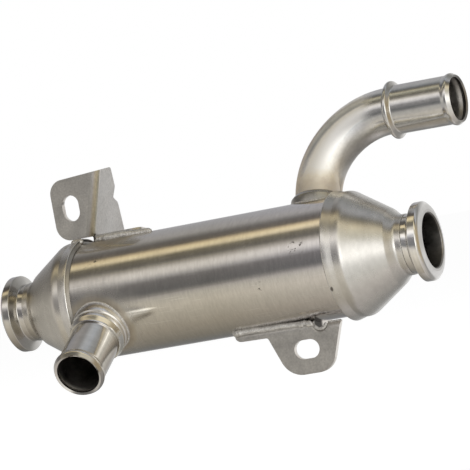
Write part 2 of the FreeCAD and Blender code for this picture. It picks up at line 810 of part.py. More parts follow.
def build():
    """Every piece of the cooler, by the name of its node."""
    shell_bar = rod(shell_seat_r, 0, overall_length)
    pieces = {"shell_tube": shell_tube()}
    pieces["inlet_flange"] = flange()
    pieces["outlet_flange"] = at_outlet(flange())
    pieces["coolant_inlet_pipe"] = coolant_inlet_pipe()
    pieces["coolant_outlet_pipe"] = coolant_outlet_pipe()
    pieces["coolant_inlet_collar"] = inlet_collar()
    pieces["coolant_outlet_collar"] = outlet_collar()

    relief = rod(inlet_foot_r + collar_lip_relief, 0, shell_outer_r + beyond, Z_AXIS)
    relief = at_port(relief, inlet_port_x, inlet_clock)
    inlet_cone = cone().cut(relief)
    outlet_cone = at_outlet(cone())
    pieces["inlet_cone"] = inlet_cone
    pieces["outlet_cone"] = outlet_cone
    cones = [inlet_cone, outlet_cone]

    pieces["coolant_inlet_weld"] = collar_weld(inlet_foot_r, inlet_port_x, inlet_clock, cones)
    pieces["coolant_outlet_weld"] = collar_weld(
        outlet_foot_r, outlet_port_x, outlet_clock, cones
    )
    pieces["inlet_skirt_braze"] = skirt_braze().cut(
        cones + [relief, pieces["coolant_inlet_weld"]]
    )
    pieces["outlet_skirt_braze"] = at_outlet(skirt_braze()).cut(
        cones + [pieces["coolant_outlet_collar"], pieces["coolant_outlet_weld"]]
    )

    pieces["inlet_header"] = header()
    pieces["outlet_header"] = at_outlet(header())
    for number, (y, z) in enumerate(tube_places(), 1):
        pieces["gas_tube_%02d" % number] = gas_tube(y, z)
    middle = overall_length / 2
    pieces["front_baffle"] = baffle(middle - baffle_spacing / 2, 1)
    pieces["rear_baffle"] = baffle(middle + baffle_spacing / 2, -1)

    upper = upper_bracket()
    lower = lower_bracket()
    pieces["upper_bracket"] = upper
    pieces["lower_bracket"] = lower
    upper_neighbours = [shell_bar, upper] + cones + [pieces["inlet_skirt_braze"]]
    foot_bead = bead(
        bead_r, skirt_lip + foot_bead_left, skirt_lip + foot_bead_right,
        upper_plate_y, shell_outer_r + bead_r / 2, upper_neighbours,
    )
    plate_bead = bead(
        plate_bead_r, skirt_lip + plate_bead_left, skirt_lip + plate_bead_right,
        upper_plate_y - plate_bead_stand, lip_room_r - plate_bead_r, upper_neighbours,
    )
    pieces["upper_bracket_weld"] = Part.makeCompound([foot_bead, plate_bead])

    bead_y = lower_plate_y + seam_bead_inset
    bead_z = -math.sqrt((shell_seat_r + bead_r / 2) ** 2 - bead_y ** 2)
    bead_start = outlet_lip - seam_bead_back
    pieces["lower_bracket_weld"] = bead(
        bead_r, bead_start, bead_start + seam_bead_length, bead_y, bead_z, [shell_bar, lower]
    )
    return pieces


os.makedirs("parts", exist_ok=True)
for name, piece in build().items():
    piece.exportStep("parts/%s.step" % name)
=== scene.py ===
import json
import math

import bmesh
import bpy
from bpy.props import FloatProperty, FloatVectorProperty, PointerProperty
from mathutils import Matrix, Vector


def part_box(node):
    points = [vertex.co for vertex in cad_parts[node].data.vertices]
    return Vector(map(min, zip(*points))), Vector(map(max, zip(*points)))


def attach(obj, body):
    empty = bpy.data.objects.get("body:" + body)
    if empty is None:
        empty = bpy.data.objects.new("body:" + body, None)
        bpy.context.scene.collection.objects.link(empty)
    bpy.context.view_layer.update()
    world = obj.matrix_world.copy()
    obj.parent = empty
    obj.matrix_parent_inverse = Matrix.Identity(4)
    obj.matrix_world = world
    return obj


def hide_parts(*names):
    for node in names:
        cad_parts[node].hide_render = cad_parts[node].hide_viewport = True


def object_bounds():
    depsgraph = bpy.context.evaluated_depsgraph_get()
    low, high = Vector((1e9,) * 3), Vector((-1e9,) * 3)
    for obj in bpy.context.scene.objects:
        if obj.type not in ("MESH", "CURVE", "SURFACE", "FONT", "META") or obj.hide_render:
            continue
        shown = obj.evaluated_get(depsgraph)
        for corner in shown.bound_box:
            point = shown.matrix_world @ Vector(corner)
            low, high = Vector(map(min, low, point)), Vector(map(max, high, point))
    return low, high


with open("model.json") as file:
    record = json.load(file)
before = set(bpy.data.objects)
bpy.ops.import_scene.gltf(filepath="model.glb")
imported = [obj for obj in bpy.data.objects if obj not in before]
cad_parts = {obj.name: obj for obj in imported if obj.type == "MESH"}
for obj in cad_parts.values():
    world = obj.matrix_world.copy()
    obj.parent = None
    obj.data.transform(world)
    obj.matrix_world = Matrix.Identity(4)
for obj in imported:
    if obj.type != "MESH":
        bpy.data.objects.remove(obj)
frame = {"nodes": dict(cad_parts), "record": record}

bl_info = {
    "name": "EGR cooler",
    "version": (1, 0, 0),
    "blender": (4, 5, 0),
    "location": "3D View > Sidebar > EGR cooler",
    "description": "Finishes, weld beads and studio for a stainless exhaust gas cooler",
    "category": "Object",
}

NODES = frame["nodes"]
MOUNTS = {mount["name"]: mount for mount in frame["record"]["mounts"]}
CAD_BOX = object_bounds()
MM = 0.001
X_AXIS = Vector((1, 0, 0))
Z_AXIS = Vector((0, 0, 1))

SHELL_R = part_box("shell_tube")[1].z

# Each coolant port: where its axis leaves the shell's axis, its turn about +X from straight
# up, and the radius of its collar's foot
INLET_PORT = {"x": 59.4 * MM, "clock": 119.2, "foot_r": 14.48 * MM}
OUTLET_PORT = {"x": 172.4 * MM, "clock": -26.1, "foot_r": 14.01 * MM}

# Marks, painted highlights and painted shade, in millimetres. On the shell a place is the
# distance along it and the degrees from the top towards the front. What a mark is made of is 1
# for filled or 0 for scribbled, its colour and what it adds to the roughness.
# Scuffed patches of the shell: place, reach
SHELL_SCUFFS = [(173.0, 73.0, 5.0), (151.0, 103.0, 2.6), (59.0, 50.0, 4.5), (64.0, 25.0, 2.0)]
SCUFF = (0.0, (0.12, 0.11, 0.10), 0.2)
# A painted highlight: the bright glint streak beside the inlet collar, a little smoother: place,
# half length, half width
SHELL_STREAK = (85.0, 105.6, 10.0, 0.7)
# Painted highlight for the glint streak: filled, near white, a little smoother
RUBBED_STEEL = (1.0, (1.0, 0.98, 0.92), -0.04)
# Where the shell's brushing is duller: place, radius of the dull middle, width of its soft edge
SHELL_DULL_SPOTS = [(50.0, 3.0, 9.0, 7.0), (64.0, 3.0, 9.0, 7.0), (78.0, 3.0, 9.0, 7.0)]
INLET_PORT_DULL = (17.0, 14.0)
# Weld heat by the upper bracket's bead and at the bent pipe's foot: radius, width of its edge
BRACKET_HEAT_CENTRE = (66.0, -3.0, 30.0)
BRACKET_HEAT = (6.0, 10.0)
BENT_PIPE_HEAT = (11.0, 9.0)
PORT_HEAT_EDGE = 5.0
# Painted shade: a dark spot for a small nick in the outlet skirt's lip, and a black patch in the
# lower bracket's notch where the gap under the shell lies in shade: centre, reach
LIP_BURR = ((188.0, -29.2, -14.4), (0.8, 1.1, 1.9))
BURR = (1.0, (0.08, 0.07, 0.06), 0.2)
NOTCH_SCALE = ((168.2, -6.0, -30.5), (6.5, 6.5, 6.5))
DARK_SCALE = (1.0, (0.02, 0.02, 0.02), 0.3)
# Painted light and shade along the cooler: the shell painted lighter towards its outlet end and
# darker towards its inlet end, and the inlet cone painted darker at its narrowing. Where each
# starts and is full along the cooler, and the tone
SHELL_END_TONES = [(125.0, 182.0, (1.13, 1.14, 1.22)), (80.0, 45.0, (0.92, 0.92, 0.93))]
CONE_END_TONES = [(46.0, 37.0, (0.82, 0.80, 0.76))]
# Where along the cooler the painted sheen of the bent pipe's bend starts to fade, and where it is
# gone
BEND_FADE = (200.0, 208.0)
# The way that the upper bracket's gusset faces
GUSSET_FACING = (0.961, 0, -0.277)

# Beads of the two brackets in millimetres: start, end, outward direction, share of the bead's
# radius, ripple pitch, sway and taper
BRACKET_BEADS = {
    "upper_bracket_weld": [
        ((58.5, -2.7, 30.9), (86.5, -2.9, 30.0), (0, -0.7, 0.7), 1.4, 0.85, 0.12, 0.35),
        ((53.7, -2.0, 30.9), (61.5, -2.3, 31.0), (0, -0.7, 0.7), 0.95, 1.9, 0.25, 0.1),
        ((40.1, -3.2, 31.1), (47.4, -3.2, 31.1), (0, -0.8, 0.6), 1.0, 1.3, 0.1, 0),
    ],
    "lower_bracket_weld": [
        ((125.4, -12.6, -28.0), (166.0, -12.7, -29.1), (0, -0.8, -0.6), 1.0, 0.9, 0.1, 0.2),
        ((124.3, -12.7, -27.9), (130.5, -12.9, -28.3), (0, -0.8, -0.6), 1.05, 1.7, 0.35, 0),
        ((159.5, -13.3, -29.2), (163.2, -13.3, -29.3), (0, -0.8, -0.6), 0.75, 1.9, 0.2, 0),
        ((163.6, -13.2, -29.3), (168.6, -13.3, -29.6), (0, -0.8, -0.6), 0.95, 2.4, 0.3, 0),
        ((175.6, -11.3, -30.3), (182.9, -11.3, -30.3), (0, -0.8, -0.6), 0.28, 0.9, 0.05, 0),
    ],
}
# Rim bead of the lower bracket's notch: centre and radius of its path in millimetres, degrees
# from the left end to the right, share of the bead's radius
NOTCH_BEAD = ((171.9, -12.9, -29.6), 3.3, 200, 345, 0.5)
NOTCH_STEPS = 36

# How a bead is laid: sides of its section, steps to a ripple and the fewest in a bead, how far a
# ripple's crown lags as a share of its pitch, the share of the radius left at an open end, the
# height as a share of the width, and how far the middle of a collar's bead stands off the shell
# and the foot
BEAD_SIDES = 14
STEPS_PER_RIPPLE = 6
FEWEST_STEPS = 12
RIPPLE_LAG = 0.35
BEAD_TIP = 0.02
BEAD_FLATNESS = 0.75
BEAD_STANDOFF = 0.1 * MM
# The two waves of a hand-laid bead's sway: length, share of the sway, phase
SWAY_WAVES = ((2.3 * MM, 1.0, 0.0), (1.1 * MM, 0.6, 1.0))

# Broken edges: corners nearer than this are joined, and edges turned more than this are broken
CORNER_JOIN = 0.001 * MM
EDGE_TURN = math.radians(40)
EDGE_SEGMENTS = 3

# Grain and marks. Scales are per metre, and a range is the part of a value's run that is spread
# over 0 to 1. The broad bands and the flecks of a turned piece are stretched against its lines.
BROAD_GRAIN = (0.13, 0.6, 0.6)
FINE_SHARE = 0.9
BROAD_SHARE = 0.1
BROAD_RANGE = (0.3, 0.7)
FLECK_LENGTH = 0.35
FLECK_SCALE = 260.0
FLECK_RANGE = (0.3, 0.7)
SHEET_FLECK_SHARE = 0.5
MOTTLE_RANGE = (0.32, 0.68)
SCRATCH_TURN = (0.3, 0.5, 0.9)
SCRATCH_SCALE = (55.0, 2600.0, 2600.0)
SCRATCH_RANGE = (0.66, 0.74)
SCRATCHED_PLACES_SCALE = 45.0
SCRATCHED_PLACES_RANGE = (0.48, 0.6)
SMUDGE_SCALE = 70.0
SMUDGE_RANGE = (0.35, 0.7)
PATCH_EDGE = (1.0, 0.6)
SCRIBBLE_TURN = (0.6, 0.0, 0.9)
SCRIBBLE_SCALE = (420.0, 1500.0, 420.0)
SCRIBBLE_RANGE = (0.56, 0.62)
HEAT_SCALE = 260.0
HEAT_UNEVENNESS = 0.5
NOISE_MIDDLE = 0.5
# Ranges of how nearly a normal lies along a direction, as the cosine between them
UPRIGHT_RANGE = (0.08, 0.18)
ACROSS_RANGE = (0.55, 0.3)
CUT_EDGE_END = 0.1
FOLDED_SKIN_RANGE = (0.995, 0.975)
INNER_RANGE = (-0.05, -0.25)

# Colour and strength of the marks in a finish, and what the marks add to its roughness
SCRATCH_COLOUR = (0.8, 0.79, 0.76, 1.0)
PATCH_STRENGTH = 0.85
EDGE_ROUGHNESS = -0.08
DULL_ROUGHNESS = 0.18
HEAT_ROUGHNESS = 0.12
INNER_ROUGHNESS = 0.25
# Painted shade in the bores, with its mottle and its colour, and the depth where it is full as a
# multiple of the plain mouth's depth
SOOT_RANGE = (0.2, 0.8)
SOOT_TONES = (0.55, 1.25)
SOOT_COLOUR = (1.0, 0.96, 0.92)
MOUTH_FADE = 1.4

# Tones and the studio. Most stops of the ramps below were typed in from printed readings of the
# photograph's tones, by the way that a surface faces or reflects, some as they were printed and
# others corrected in rounds of rendering and comparing.

# Painted reflection on the upper bracket's fold, dull at first and golden further round, by how
# nearly it faces along the cooler
FOLD_TONE = [
    (0.02, 1.0), (0.16, (0.72, 0.72, 0.74)), (0.28, 0.60), (0.48, (0.50, 0.48, 0.47)),
    (0.57, (0.56, 0.51, 0.46)), (0.65, (0.64, 0.60, 0.49)), (0.72, (0.83, 0.76, 0.63)),
    (0.84, (1.24, 1.20, 1.00)), (0.90, (1.05, 1.05, 0.93)), (0.94, (0.73, 0.70, 0.60)),
    (0.955, 1.0),
]
# Colour of the film that welding leaves, from the weld outwards
HEAT_FILM = [
    (0.0, (0.46, 0.40, 0.33)), (0.3, (0.62, 0.52, 0.38)), (0.6, (0.86, 0.79, 0.66)), (1.0, 1.0),
]
# Painted sheen: a tone by the turn of the normal about a piece's axis, as a colour or a grey,
# that paints reflections and highlights into the steel's colour. Those of the turned and spun
# pieces, the bent pipe's end and its bend start at the top and go round by the front. The
# spigot's and its collar's start at the outlet end and go round by the top.
LATHE_SHEEN = [
    (0.000, 0.92), (0.085, 0.92), (0.125, (0.64, 0.64, 0.65)), (0.165, 1.10),
    (0.210, (1.45, 1.45, 1.46)), (0.250, (1.42, 1.42, 1.44)), (0.290, (1.08, 1.08, 1.10)),
    (0.335, (1.08, 1.08, 1.10)), (0.375, (1.0, 1.0, 1.02)), (0.415, (0.93, 0.93, 0.95)),
    (0.500, 1.0), (1.000, 1.0),
]
BENT_PIPE_SHEEN = [
    (0.010, 0.85), (0.070, (1.15, 1.17, 1.20)), (0.125, (0.95, 1.04, 1.15)),
    (0.153, (0.50, 0.56, 0.68)), (0.181, (1.40, 1.42, 1.45)), (0.208, (1.20, 1.22, 1.28)),
    (0.236, (1.50, 1.55, 1.60)), (0.264, (0.86, 0.90, 0.96)), (0.292, (0.90, 0.93, 1.02)),
    (0.325, (1.28, 1.30, 1.36)), (0.350, (1.25, 1.28, 1.30)), (0.375, (0.90, 0.89, 0.86)),
    (0.430, (1.48, 1.50, 1.60)), (0.460, (1.10, 1.10, 1.09)), (0.490, (0.58, 0.57, 0.56)),
    (0.550, 1.0), (0.950, 1.0), (1.000, 0.85),
]
BEND_SHEEN = [
    (0.020, 1.50), (0.062, (1.45, 1.46, 1.44)), (0.104, (1.09, 1.02, 0.93)),
    (0.146, (1.56, 1.50, 1.40)), (0.188, (1.66, 1.70, 1.80)), (0.229, (1.70, 1.74, 1.78)),
    (0.271, (1.42, 1.43, 1.45)), (0.312, 0.88), (0.396, 0.68), (0.500, 0.68), (0.570, 1.0),
    (0.940, 1.0), (1.000, 1.50),
]
SPIGOT_SHEEN = [
    (0.000, (1.10, 1.08, 1.00)), (0.042, (1.60, 1.62, 1.62)), (0.069, (1.31, 1.33, 1.33)),
    (0.125, (1.58, 1.58, 1.60)), (0.155, (1.76, 1.82, 1.92)), (0.181, (1.70, 1.73, 1.77)),
    (0.208, (1.15, 1.12, 1.10)), (0.264, 0.92), (0.320, (0.78, 0.78, 0.77)), (0.500, 0.80),
    (0.850, (0.34, 0.31, 0.28)), (0.930, (0.38, 0.35, 0.31)), (0.960, (0.52, 0.48, 0.42)),
    (1.000, (1.10, 1.08, 1.00)),
]
COLLAR_SHEEN = [
    (0.000, (1.36, 1.40, 1.45)), (0.100, (1.38, 1.42, 1.48)), (0.181, (1.45, 1.48, 1.55)),
    (0.208, (1.20, 1.22, 1.30)), (0.236, (0.89, 0.88, 0.93)), (0.270, (0.61, 0.61, 0.68)),
    (0.320, (0.72, 0.74, 0.78)), (0.360, (1.30, 1.35, 1.40)), (0.900, (0.74, 0.72, 0.62)),
    (0.945, (1.05, 1.05, 1.00)), (1.000, (1.36, 1.40, 1.45)),
]

# The studio round the cooler, as polished metal sees it: brightness by the angle about the
# cooler's length, from straight behind (0) over the top (0.25), the front (0.5) and below (0.75).
# The first is seen square to the length and to the left, the second to the right.
SURROUNDINGS = [
    (0.000, (0.78, 0.78, 0.79)), (0.030, (0.52, 0.52, 0.54)), (0.055, (0.45, 0.45, 0.47)),
    (0.120, (0.47, 0.47, 0.49)), (0.165, (0.49, 0.48, 0.48)), (0.186, (0.45, 0.44, 0.43)),
    (0.206, (0.29, 0.28, 0.27)), (0.224, (0.18, 0.17, 0.16)), (0.256, (0.17, 0.15, 0.13)),
    (0.271, (0.80, 0.66, 0.42)), (0.284, (1.15, 0.98, 0.64)), (0.297, (1.05, 0.92, 0.63)),
    (0.313, (0.22, 0.20, 0.15)), (0.350, (0.17, 0.16, 0.14)), (0.366, (0.46, 0.43, 0.37)),
    (0.390, (0.95, 0.91, 0.86)), (0.409, (0.95, 0.92, 0.88)), (0.433, (0.48, 0.47, 0.47)),
    (0.447, (0.23, 0.22, 0.22)), (0.505, 0.17), (0.518, (0.28, 0.27, 0.26)),
    (0.533, (0.60, 0.57, 0.53)), (0.550, (0.69, 0.66, 0.58)), (0.590, (0.75, 0.70, 0.60)),
    (0.640, (0.61, 0.57, 0.48)), (0.730, (0.45, 0.41, 0.34)), (0.830, (0.29, 0.27, 0.23)),
    (0.890, (0.23, 0.23, 0.22)), (0.925, 0.22), (0.947, 0.31), (0.975, 0.51),
    (1.000, (0.78, 0.78, 0.79)),
]
SURROUNDINGS_RIGHT = [
    (0.000, (0.74, 0.73, 0.72)), (0.045, (0.84, 0.84, 0.83)), (0.070, 0.62),
    (0.092, (0.50, 0.50, 0.49)), (0.130, (0.28, 0.28, 0.27)), (0.180, (0.32, 0.33, 0.33)),
    (0.220, (0.56, 0.57, 0.60)), (0.243, (0.38, 0.38, 0.39)), (0.260, (0.09, 0.09, 0.08)),
    (0.288, (0.32, 0.28, 0.20)), (0.319, (1.05, 0.92, 0.66)), (0.350, (0.85, 0.80, 0.64)),
    (0.385, (0.72, 0.69, 0.58)), (0.440, (1.45, 1.43, 1.38)), (0.500, (1.95, 1.93, 1.86)),
    (0.550, (1.15, 1.14, 1.10)), (0.580, (0.95, 0.94, 0.90)), (0.630, (0.84, 0.83, 0.78)),
    (0.690, (0.79, 0.75, 0.70)), (0.740, (0.66, 0.62, 0.58)), (0.790, (0.54, 0.51, 0.48)),
    (0.830, (0.48, 0.46, 0.43)), (0.870, (0.35, 0.34, 0.33)), (0.912, (0.38, 0.38, 0.37)),
    (0.937, 0.78), (0.960, 0.95), (1.000, (0.74, 0.73, 0.72)),
]
# What lies beyond the cooler's two ends, and where each part of the studio gives way to the next,
# as ranges of the direction's share along X or, where it says so, Y or Z
RIGHT_END = (0.46, 0.38, 0.25, 1)
LEFT_END_LOW = (0.62, 0.60, 0.56, 1)
LEFT_END_HIGH = (0.23, 0.22, 0.21, 1)
RIGHT_SIDE_RANGE = (-0.38, -0.17)
FRONT_DELAY_Y_RANGE = (0.15, -0.15)
FRONT_DELAY = 0.5
RIGHT_END_RANGE = (0.82, 0.97)
LEFT_END_RANGE = (-0.6, -0.9)
LEFT_END_Z_RANGE = (0.1, 0.35)
MATT_LIGHT = (0.7, 0.7, 0.7, 1)
WHITE = (1, 1, 1, 1)

# Floor, lamp and camera in metres, and the camera's sensor in millimetres
FLOOR_REACH = 20
FLOOR_ROUGHNESS = 0.9
FLOOR_GLOW = 0.35
KEY_LAMP_SIZE = (1.2, 0.8)
KEY_LAMP_PLACE = (-0.3, -0.9, 1.3)
KEY_LAMP_AIM = (0.12, 0, 0)
SENSOR_WIDTH = 36
CAMERA_REACH = (0.01, 100)


# Building nodes


def feed(tree, socket, value):
    """Gives an input another node's socket or a constant."""
    if isinstance(value, bpy.types.NodeSocket):
        tree.links.new(value, socket)
    else:
        socket.default_value = value


def add(tree, kind, inputs=None, **settings):
    """Adds a node with its settings and its inputs."""
    made = tree.nodes.new(kind)
    for name, value in settings.items():
        setattr(made, name, value)
    for key, value in (inputs or {}).items():
        feed(tree, made.inputs[key], value)
    return made


def maths(tree, operation, first, second=0.0, clamp=False):
    """The result of a Math node."""
    return add(
        tree, "ShaderNodeMath", {0: first, 1: second}, operation=operation, use_clamp=clamp
    ).outputs[0]


def vector_maths(tree, operation, first, second=(0, 0, 0)):
    """The vector that a Vector Math node gives."""
    return add(
        tree, "ShaderNodeVectorMath", {0: first, 1: second}, operation=operation
    ).outputs["Vector"]


def vector_value(tree, operation, first, second=(0, 0, 0)):
    """The value that a Vector Math node gives, such as a length or a dot product."""
    return add(
        tree, "ShaderNodeVectorMath", {0: first, 1: second}, operation=operation
    ).outputs["Value"]


def noise(tree, vector, detail, roughness, scale=1.0, distortion=0.0):
    """The value of a noise texture."""
    return add(tree, "ShaderNodeTexNoise", {
        "Vector": vector, "Scale": scale, "Detail": detail, "Roughness": roughness,
        "Distortion": distortion,
    }).outputs[0]


def mapping(tree, vector, rotation, scale=(1, 1, 1)):
    """A vector that is turned and scaled."""
    return add(tree, "ShaderNodeMapping", {
        "Vector": vector, "Rotation": rotation, "Scale": scale,
    }).outputs[0]


def vector_of(tree, x, y, z):
    """A vector put together from three values."""
    return add(tree, "ShaderNodeCombineXYZ", {0: x, 1: y, 2: z}).outputs[0]


def parts_of(tree, vector):
    """A vector's three values."""
    return add(tree, "ShaderNodeSeparateXYZ", {0: vector}).outputs


def blend(tree, factor, first, second, way="MIX", clamp=False):
    """Two colours mixed by a factor."""
    return add(
        tree, "ShaderNodeMix", {0: factor, 6: first, 7: second}, data_type="RGBA",
        blend_type=way, clamp_factor=True, clamp_result=clamp,
    ).outputs[2]


def tint(tree, where, tone, colour):
    """A tone multiplied by a colour where a mask is 1, and held at white at most."""
    return blend(tree, where, tone, blend(tree, 1.0, tone, colour, "MULTIPLY", clamp=True))


def roughen(tree, rough, where, more):
    """A roughness with more added where a mask is 1."""
    return maths(tree, "ADD", rough, maths(tree, "MULTIPLY", where, more))


def grey(tree, value):
    """A value as a grey colour."""
    return add(tree, "ShaderNodeCombineColor", {0: value, 1: value, 2: value}).outputs[0]


def span(tree, value, low, high, new_low=0.0, new_high=1.0):
    """A value mapped from one range to another and held inside it."""
    return add(tree, "ShaderNodeMapRange", {
        "Value": value, "From Min": low, "From Max": high, "To Min": new_low, "To Max": new_high,
    }).outputs[0]


def opaque(colour):
    """A colour, or a grey given as one number, with full alpha."""
    return (colour, colour, colour, 1) if isinstance(colour, float) else (*colour, 1)


def ramp(tree, factor, stops):
    """A colour ramp; a stop is its place and a colour or a grey."""
    made = add(tree, "ShaderNodeValToRGB", {0: factor})
    elements = made.color_ramp.elements
    for element, (place, colour) in zip(elements, (stops[0], stops[-1])):
        element.position = place
        element.color = opaque(colour)
    for place, colour in stops[1:-1]:
        elements.new(place).color = opaque(colour)
    return made.outputs[0]


def build_group(name, effect, inputs, outputs):
    """A shader node group: the effect gives its outputs from its inputs, numbers or vectors."""
    group = bpy.data.node_groups.new(name, "ShaderNodeTree")
    for label, default in inputs.items():
        kind = FLOAT if isinstance(default, float) else VECTOR
        socket = group.interface.new_socket(label, in_out="INPUT", socket_type=kind)
        socket.default_value = default
    for label, kind in outputs.items():
        group.interface.new_socket(label, in_out="OUTPUT", socket_type=kind)
    source = group.nodes.new("NodeGroupInput").outputs
    result = group.nodes.new("NodeGroupOutput").inputs
    for label, value in effect(group, source).items():
        group.links.new(value, result[label])


def place_group(tree, name, inputs):
    """Places a shared group in a tree with its own values."""
    made = tree.nodes.new("ShaderNodeGroup")
    made.node_tree = bpy.data.node_groups[name]
    for key, value in inputs.items():
        feed(tree, made.inputs[key], value)
    return made.outputs


# Shared effects


def turned_grain(group, source):
    """Fine lines round a piece that was brushed, spun or turned about its own X."""
    place = source["Vector"]
    along = maths(group, "DIVIDE", 1.0, source["Pitch"])
    fine_scale = vector_of(group, along, source["Wander"], source["Wander"])
    fine_place = vector_maths(group, "MULTIPLY", place, fine_scale)
    fine = noise(group, fine_place, detail=3.0, roughness=0.65)
    broad_place = vector_maths(group, "MULTIPLY", fine_place, BROAD_GRAIN)
    broad = noise(group, broad_place, detail=2.0, roughness=0.5)
    broad_part = maths(group, "MULTIPLY", broad, BROAD_SHARE)
    height = add(
        group, "ShaderNodeMath", {0: fine, 1: FINE_SHARE, 2: broad_part},
        operation="MULTIPLY_ADD",
    ).outputs[0]
    fleck_along = maths(group, "MULTIPLY", along, FLECK_LENGTH)
    fleck_scale = vector_of(group, fleck_along, FLECK_SCALE, FLECK_SCALE)
    fleck_place = vector_maths(group, "MULTIPLY", place, fleck_scale)
    return {
        "Height": height,
        "Tone": span(group, broad, *BROAD_RANGE),
        "Fleck": noise(group, fleck_place, detail=2.0, roughness=0.6),
    }


def sheet_grain(group, source):
    """The even matt grain and slow mottling of pickled and tumbled sheet."""
    place = source["Vector"]
    grain_scale = maths(group, "DIVIDE", 1.0, source["Grain"])
    fleck_scale = maths(group, "DIVIDE", SHEET_FLECK_SHARE, source["Grain"])
    mottle_scale = maths(group, "DIVIDE", 1.0, source["Mottle"])
    mottle = noise(group, place, detail=3.0, roughness=0.55, scale=mottle_scale)
    return {
        "Height": noise(group, place, detail=4.0, roughness=0.6, scale=grain_scale),
        "Tone": span(group, mottle, *MOTTLE_RANGE),
        "Fleck": noise(group, place, detail=2.0, roughness=0.6, scale=fleck_scale),
    }


def handling_marks(group, source):
    """A few long light scratches and soft smudges from handling."""
    place = source["Vector"]
    turned = mapping(group, place, SCRATCH_TURN, SCRATCH_SCALE)
    lines = noise(group, turned, detail=1.0, roughness=0.4)
    places = noise(group, place, detail=2.0, roughness=0.5, scale=SCRATCHED_PLACES_SCALE)
    scratches = maths(
        group, "MULTIPLY", span(group, lines, *SCRATCH_RANGE),
        span(group, places, *SCRATCHED_PLACES_RANGE),
    )
    smudges = noise(group, place, detail=5.0, roughness=0.6, scale=SMUDGE_SCALE)
    return {
        "Scratches": maths(group, "MULTIPLY", scratches, source["Amount"]),
        "Smudges": span(group, smudges, *SMUDGE_RANGE),
    }


def mark_patch(group, source):
    """A small oval patch: scribbled over with short lines, or even where it is filled."""
    offset = vector_maths(group, "SUBTRACT", source["Vector"], source["Centre"])
    share = vector_maths(group, "DIVIDE", offset, source["Reach"])
    inside = span(group, vector_value(group, "LENGTH", share), *PATCH_EDGE)
    turned = mapping(group, offset, SCRIBBLE_TURN, SCRIBBLE_SCALE)
    lines = noise(group, turned, detail=2.0, roughness=0.6, distortion=0.8)
    lines = maths(group, "MAXIMUM", span(group, lines, *SCRIBBLE_RANGE), source["Fill"])
    return {"Mask": maths(group, "MULTIPLY", lines, inside)}


def fold_tone(group, source):
    """A painted reflection on a sheet's fold by the way that it faces: dull at first, golden
    further round.
    """
    parts = parts_of(group, source["Normal"])
    tone = ramp(group, maths(group, "ABSOLUTE", parts["X"]), FOLD_TONE)
    upright = span(group, maths(group, "ABSOLUTE", parts["Y"]), *UPRIGHT_RANGE)
    return {"Tone": blend(group, upright, WHITE, tone)}


def turned_facing(group, source):
    """How a turned surface faces round its axis, from 0 to 1, and how much across and along it."""
    second, first, along = (
        vector_value(group, "DOT_PRODUCT", source["Normal"], source[name])
        for name in ("Second", "First", "Axis")
    )
    turn = maths(group, "DIVIDE", maths(group, "ARCTAN2", second, first), 2 * math.pi)
    along = maths(group, "ABSOLUTE", along)
    return {
        "Turn": maths(group, "FRACT", turn),
        "Across": span(group, along, *ACROSS_RANGE),
        "Along": along,
    }


def cut_edge(group, source):
    """1 on faces square to a sheet's skins, such as its sheared edges and holes."""
    facing, folded = (
        vector_value(group, "DOT_PRODUCT", source["Normal"], source[name])
        for name in ("Skin", "Folded Skin")
    )
    edge = span(group, maths(group, "ABSOLUTE", facing), source["Start"], CUT_EDGE_END)
    off_fold = span(group, maths(group, "ABSOLUTE", folded), *FOLDED_SKIN_RANGE)
    return {"Mask": maths(group, "MULTIPLY", edge, off_fold)}


def weld_heat(group, source):
    """The straw and brown film that welding leaves, fading with distance."""
    apart = vector_value(group, "DISTANCE", source["Vector"], source["Centre"])
    uneven = noise(group, source["Vector"], detail=3.0, roughness=0.5, scale=HEAT_SCALE)
    shift = maths(group, "SUBTRACT", uneven, NOISE_MIDDLE)
    shift = maths(group, "MULTIPLY", shift, HEAT_UNEVENNESS)
    far = maths(group, "SUBTRACT", apart, source["Start"])
    far = maths(group, "DIVIDE", far, source["Reach"])
    far = maths(group, "ADD", far, shift, clamp=True)
    near = maths(group, "SUBTRACT", 1.0, far, clamp=True)
    return {"Film": ramp(group, far, HEAT_FILM), "Mask": near}


def inner_face(group, source):
    """1 on the faces that look towards a piece's own axis, such as a tube's bore."""
    offset = vector_maths(group, "SUBTRACT", source["Vector"], source["Axis Point"])
    along = vector_maths(group, "PROJECT", offset, source["Axis"])
    radial = vector_maths(group, "SUBTRACT", offset, along)
    radial = vector_maths(group, "NORMALIZE", radial)
    facing = vector_value(group, "DOT_PRODUCT", radial, source["Normal"])
    return {"Mask": span(group, facing, *INNER_RANGE)}


FLOAT = "NodeSocketFloat"
VECTOR = "NodeSocketVector"
COLOUR = "NodeSocketColor"
NOWHERE = (0, 0, 0)
GRAIN_OUTPUTS = {"Height": FLOAT, "Tone": FLOAT, "Fleck": FLOAT}
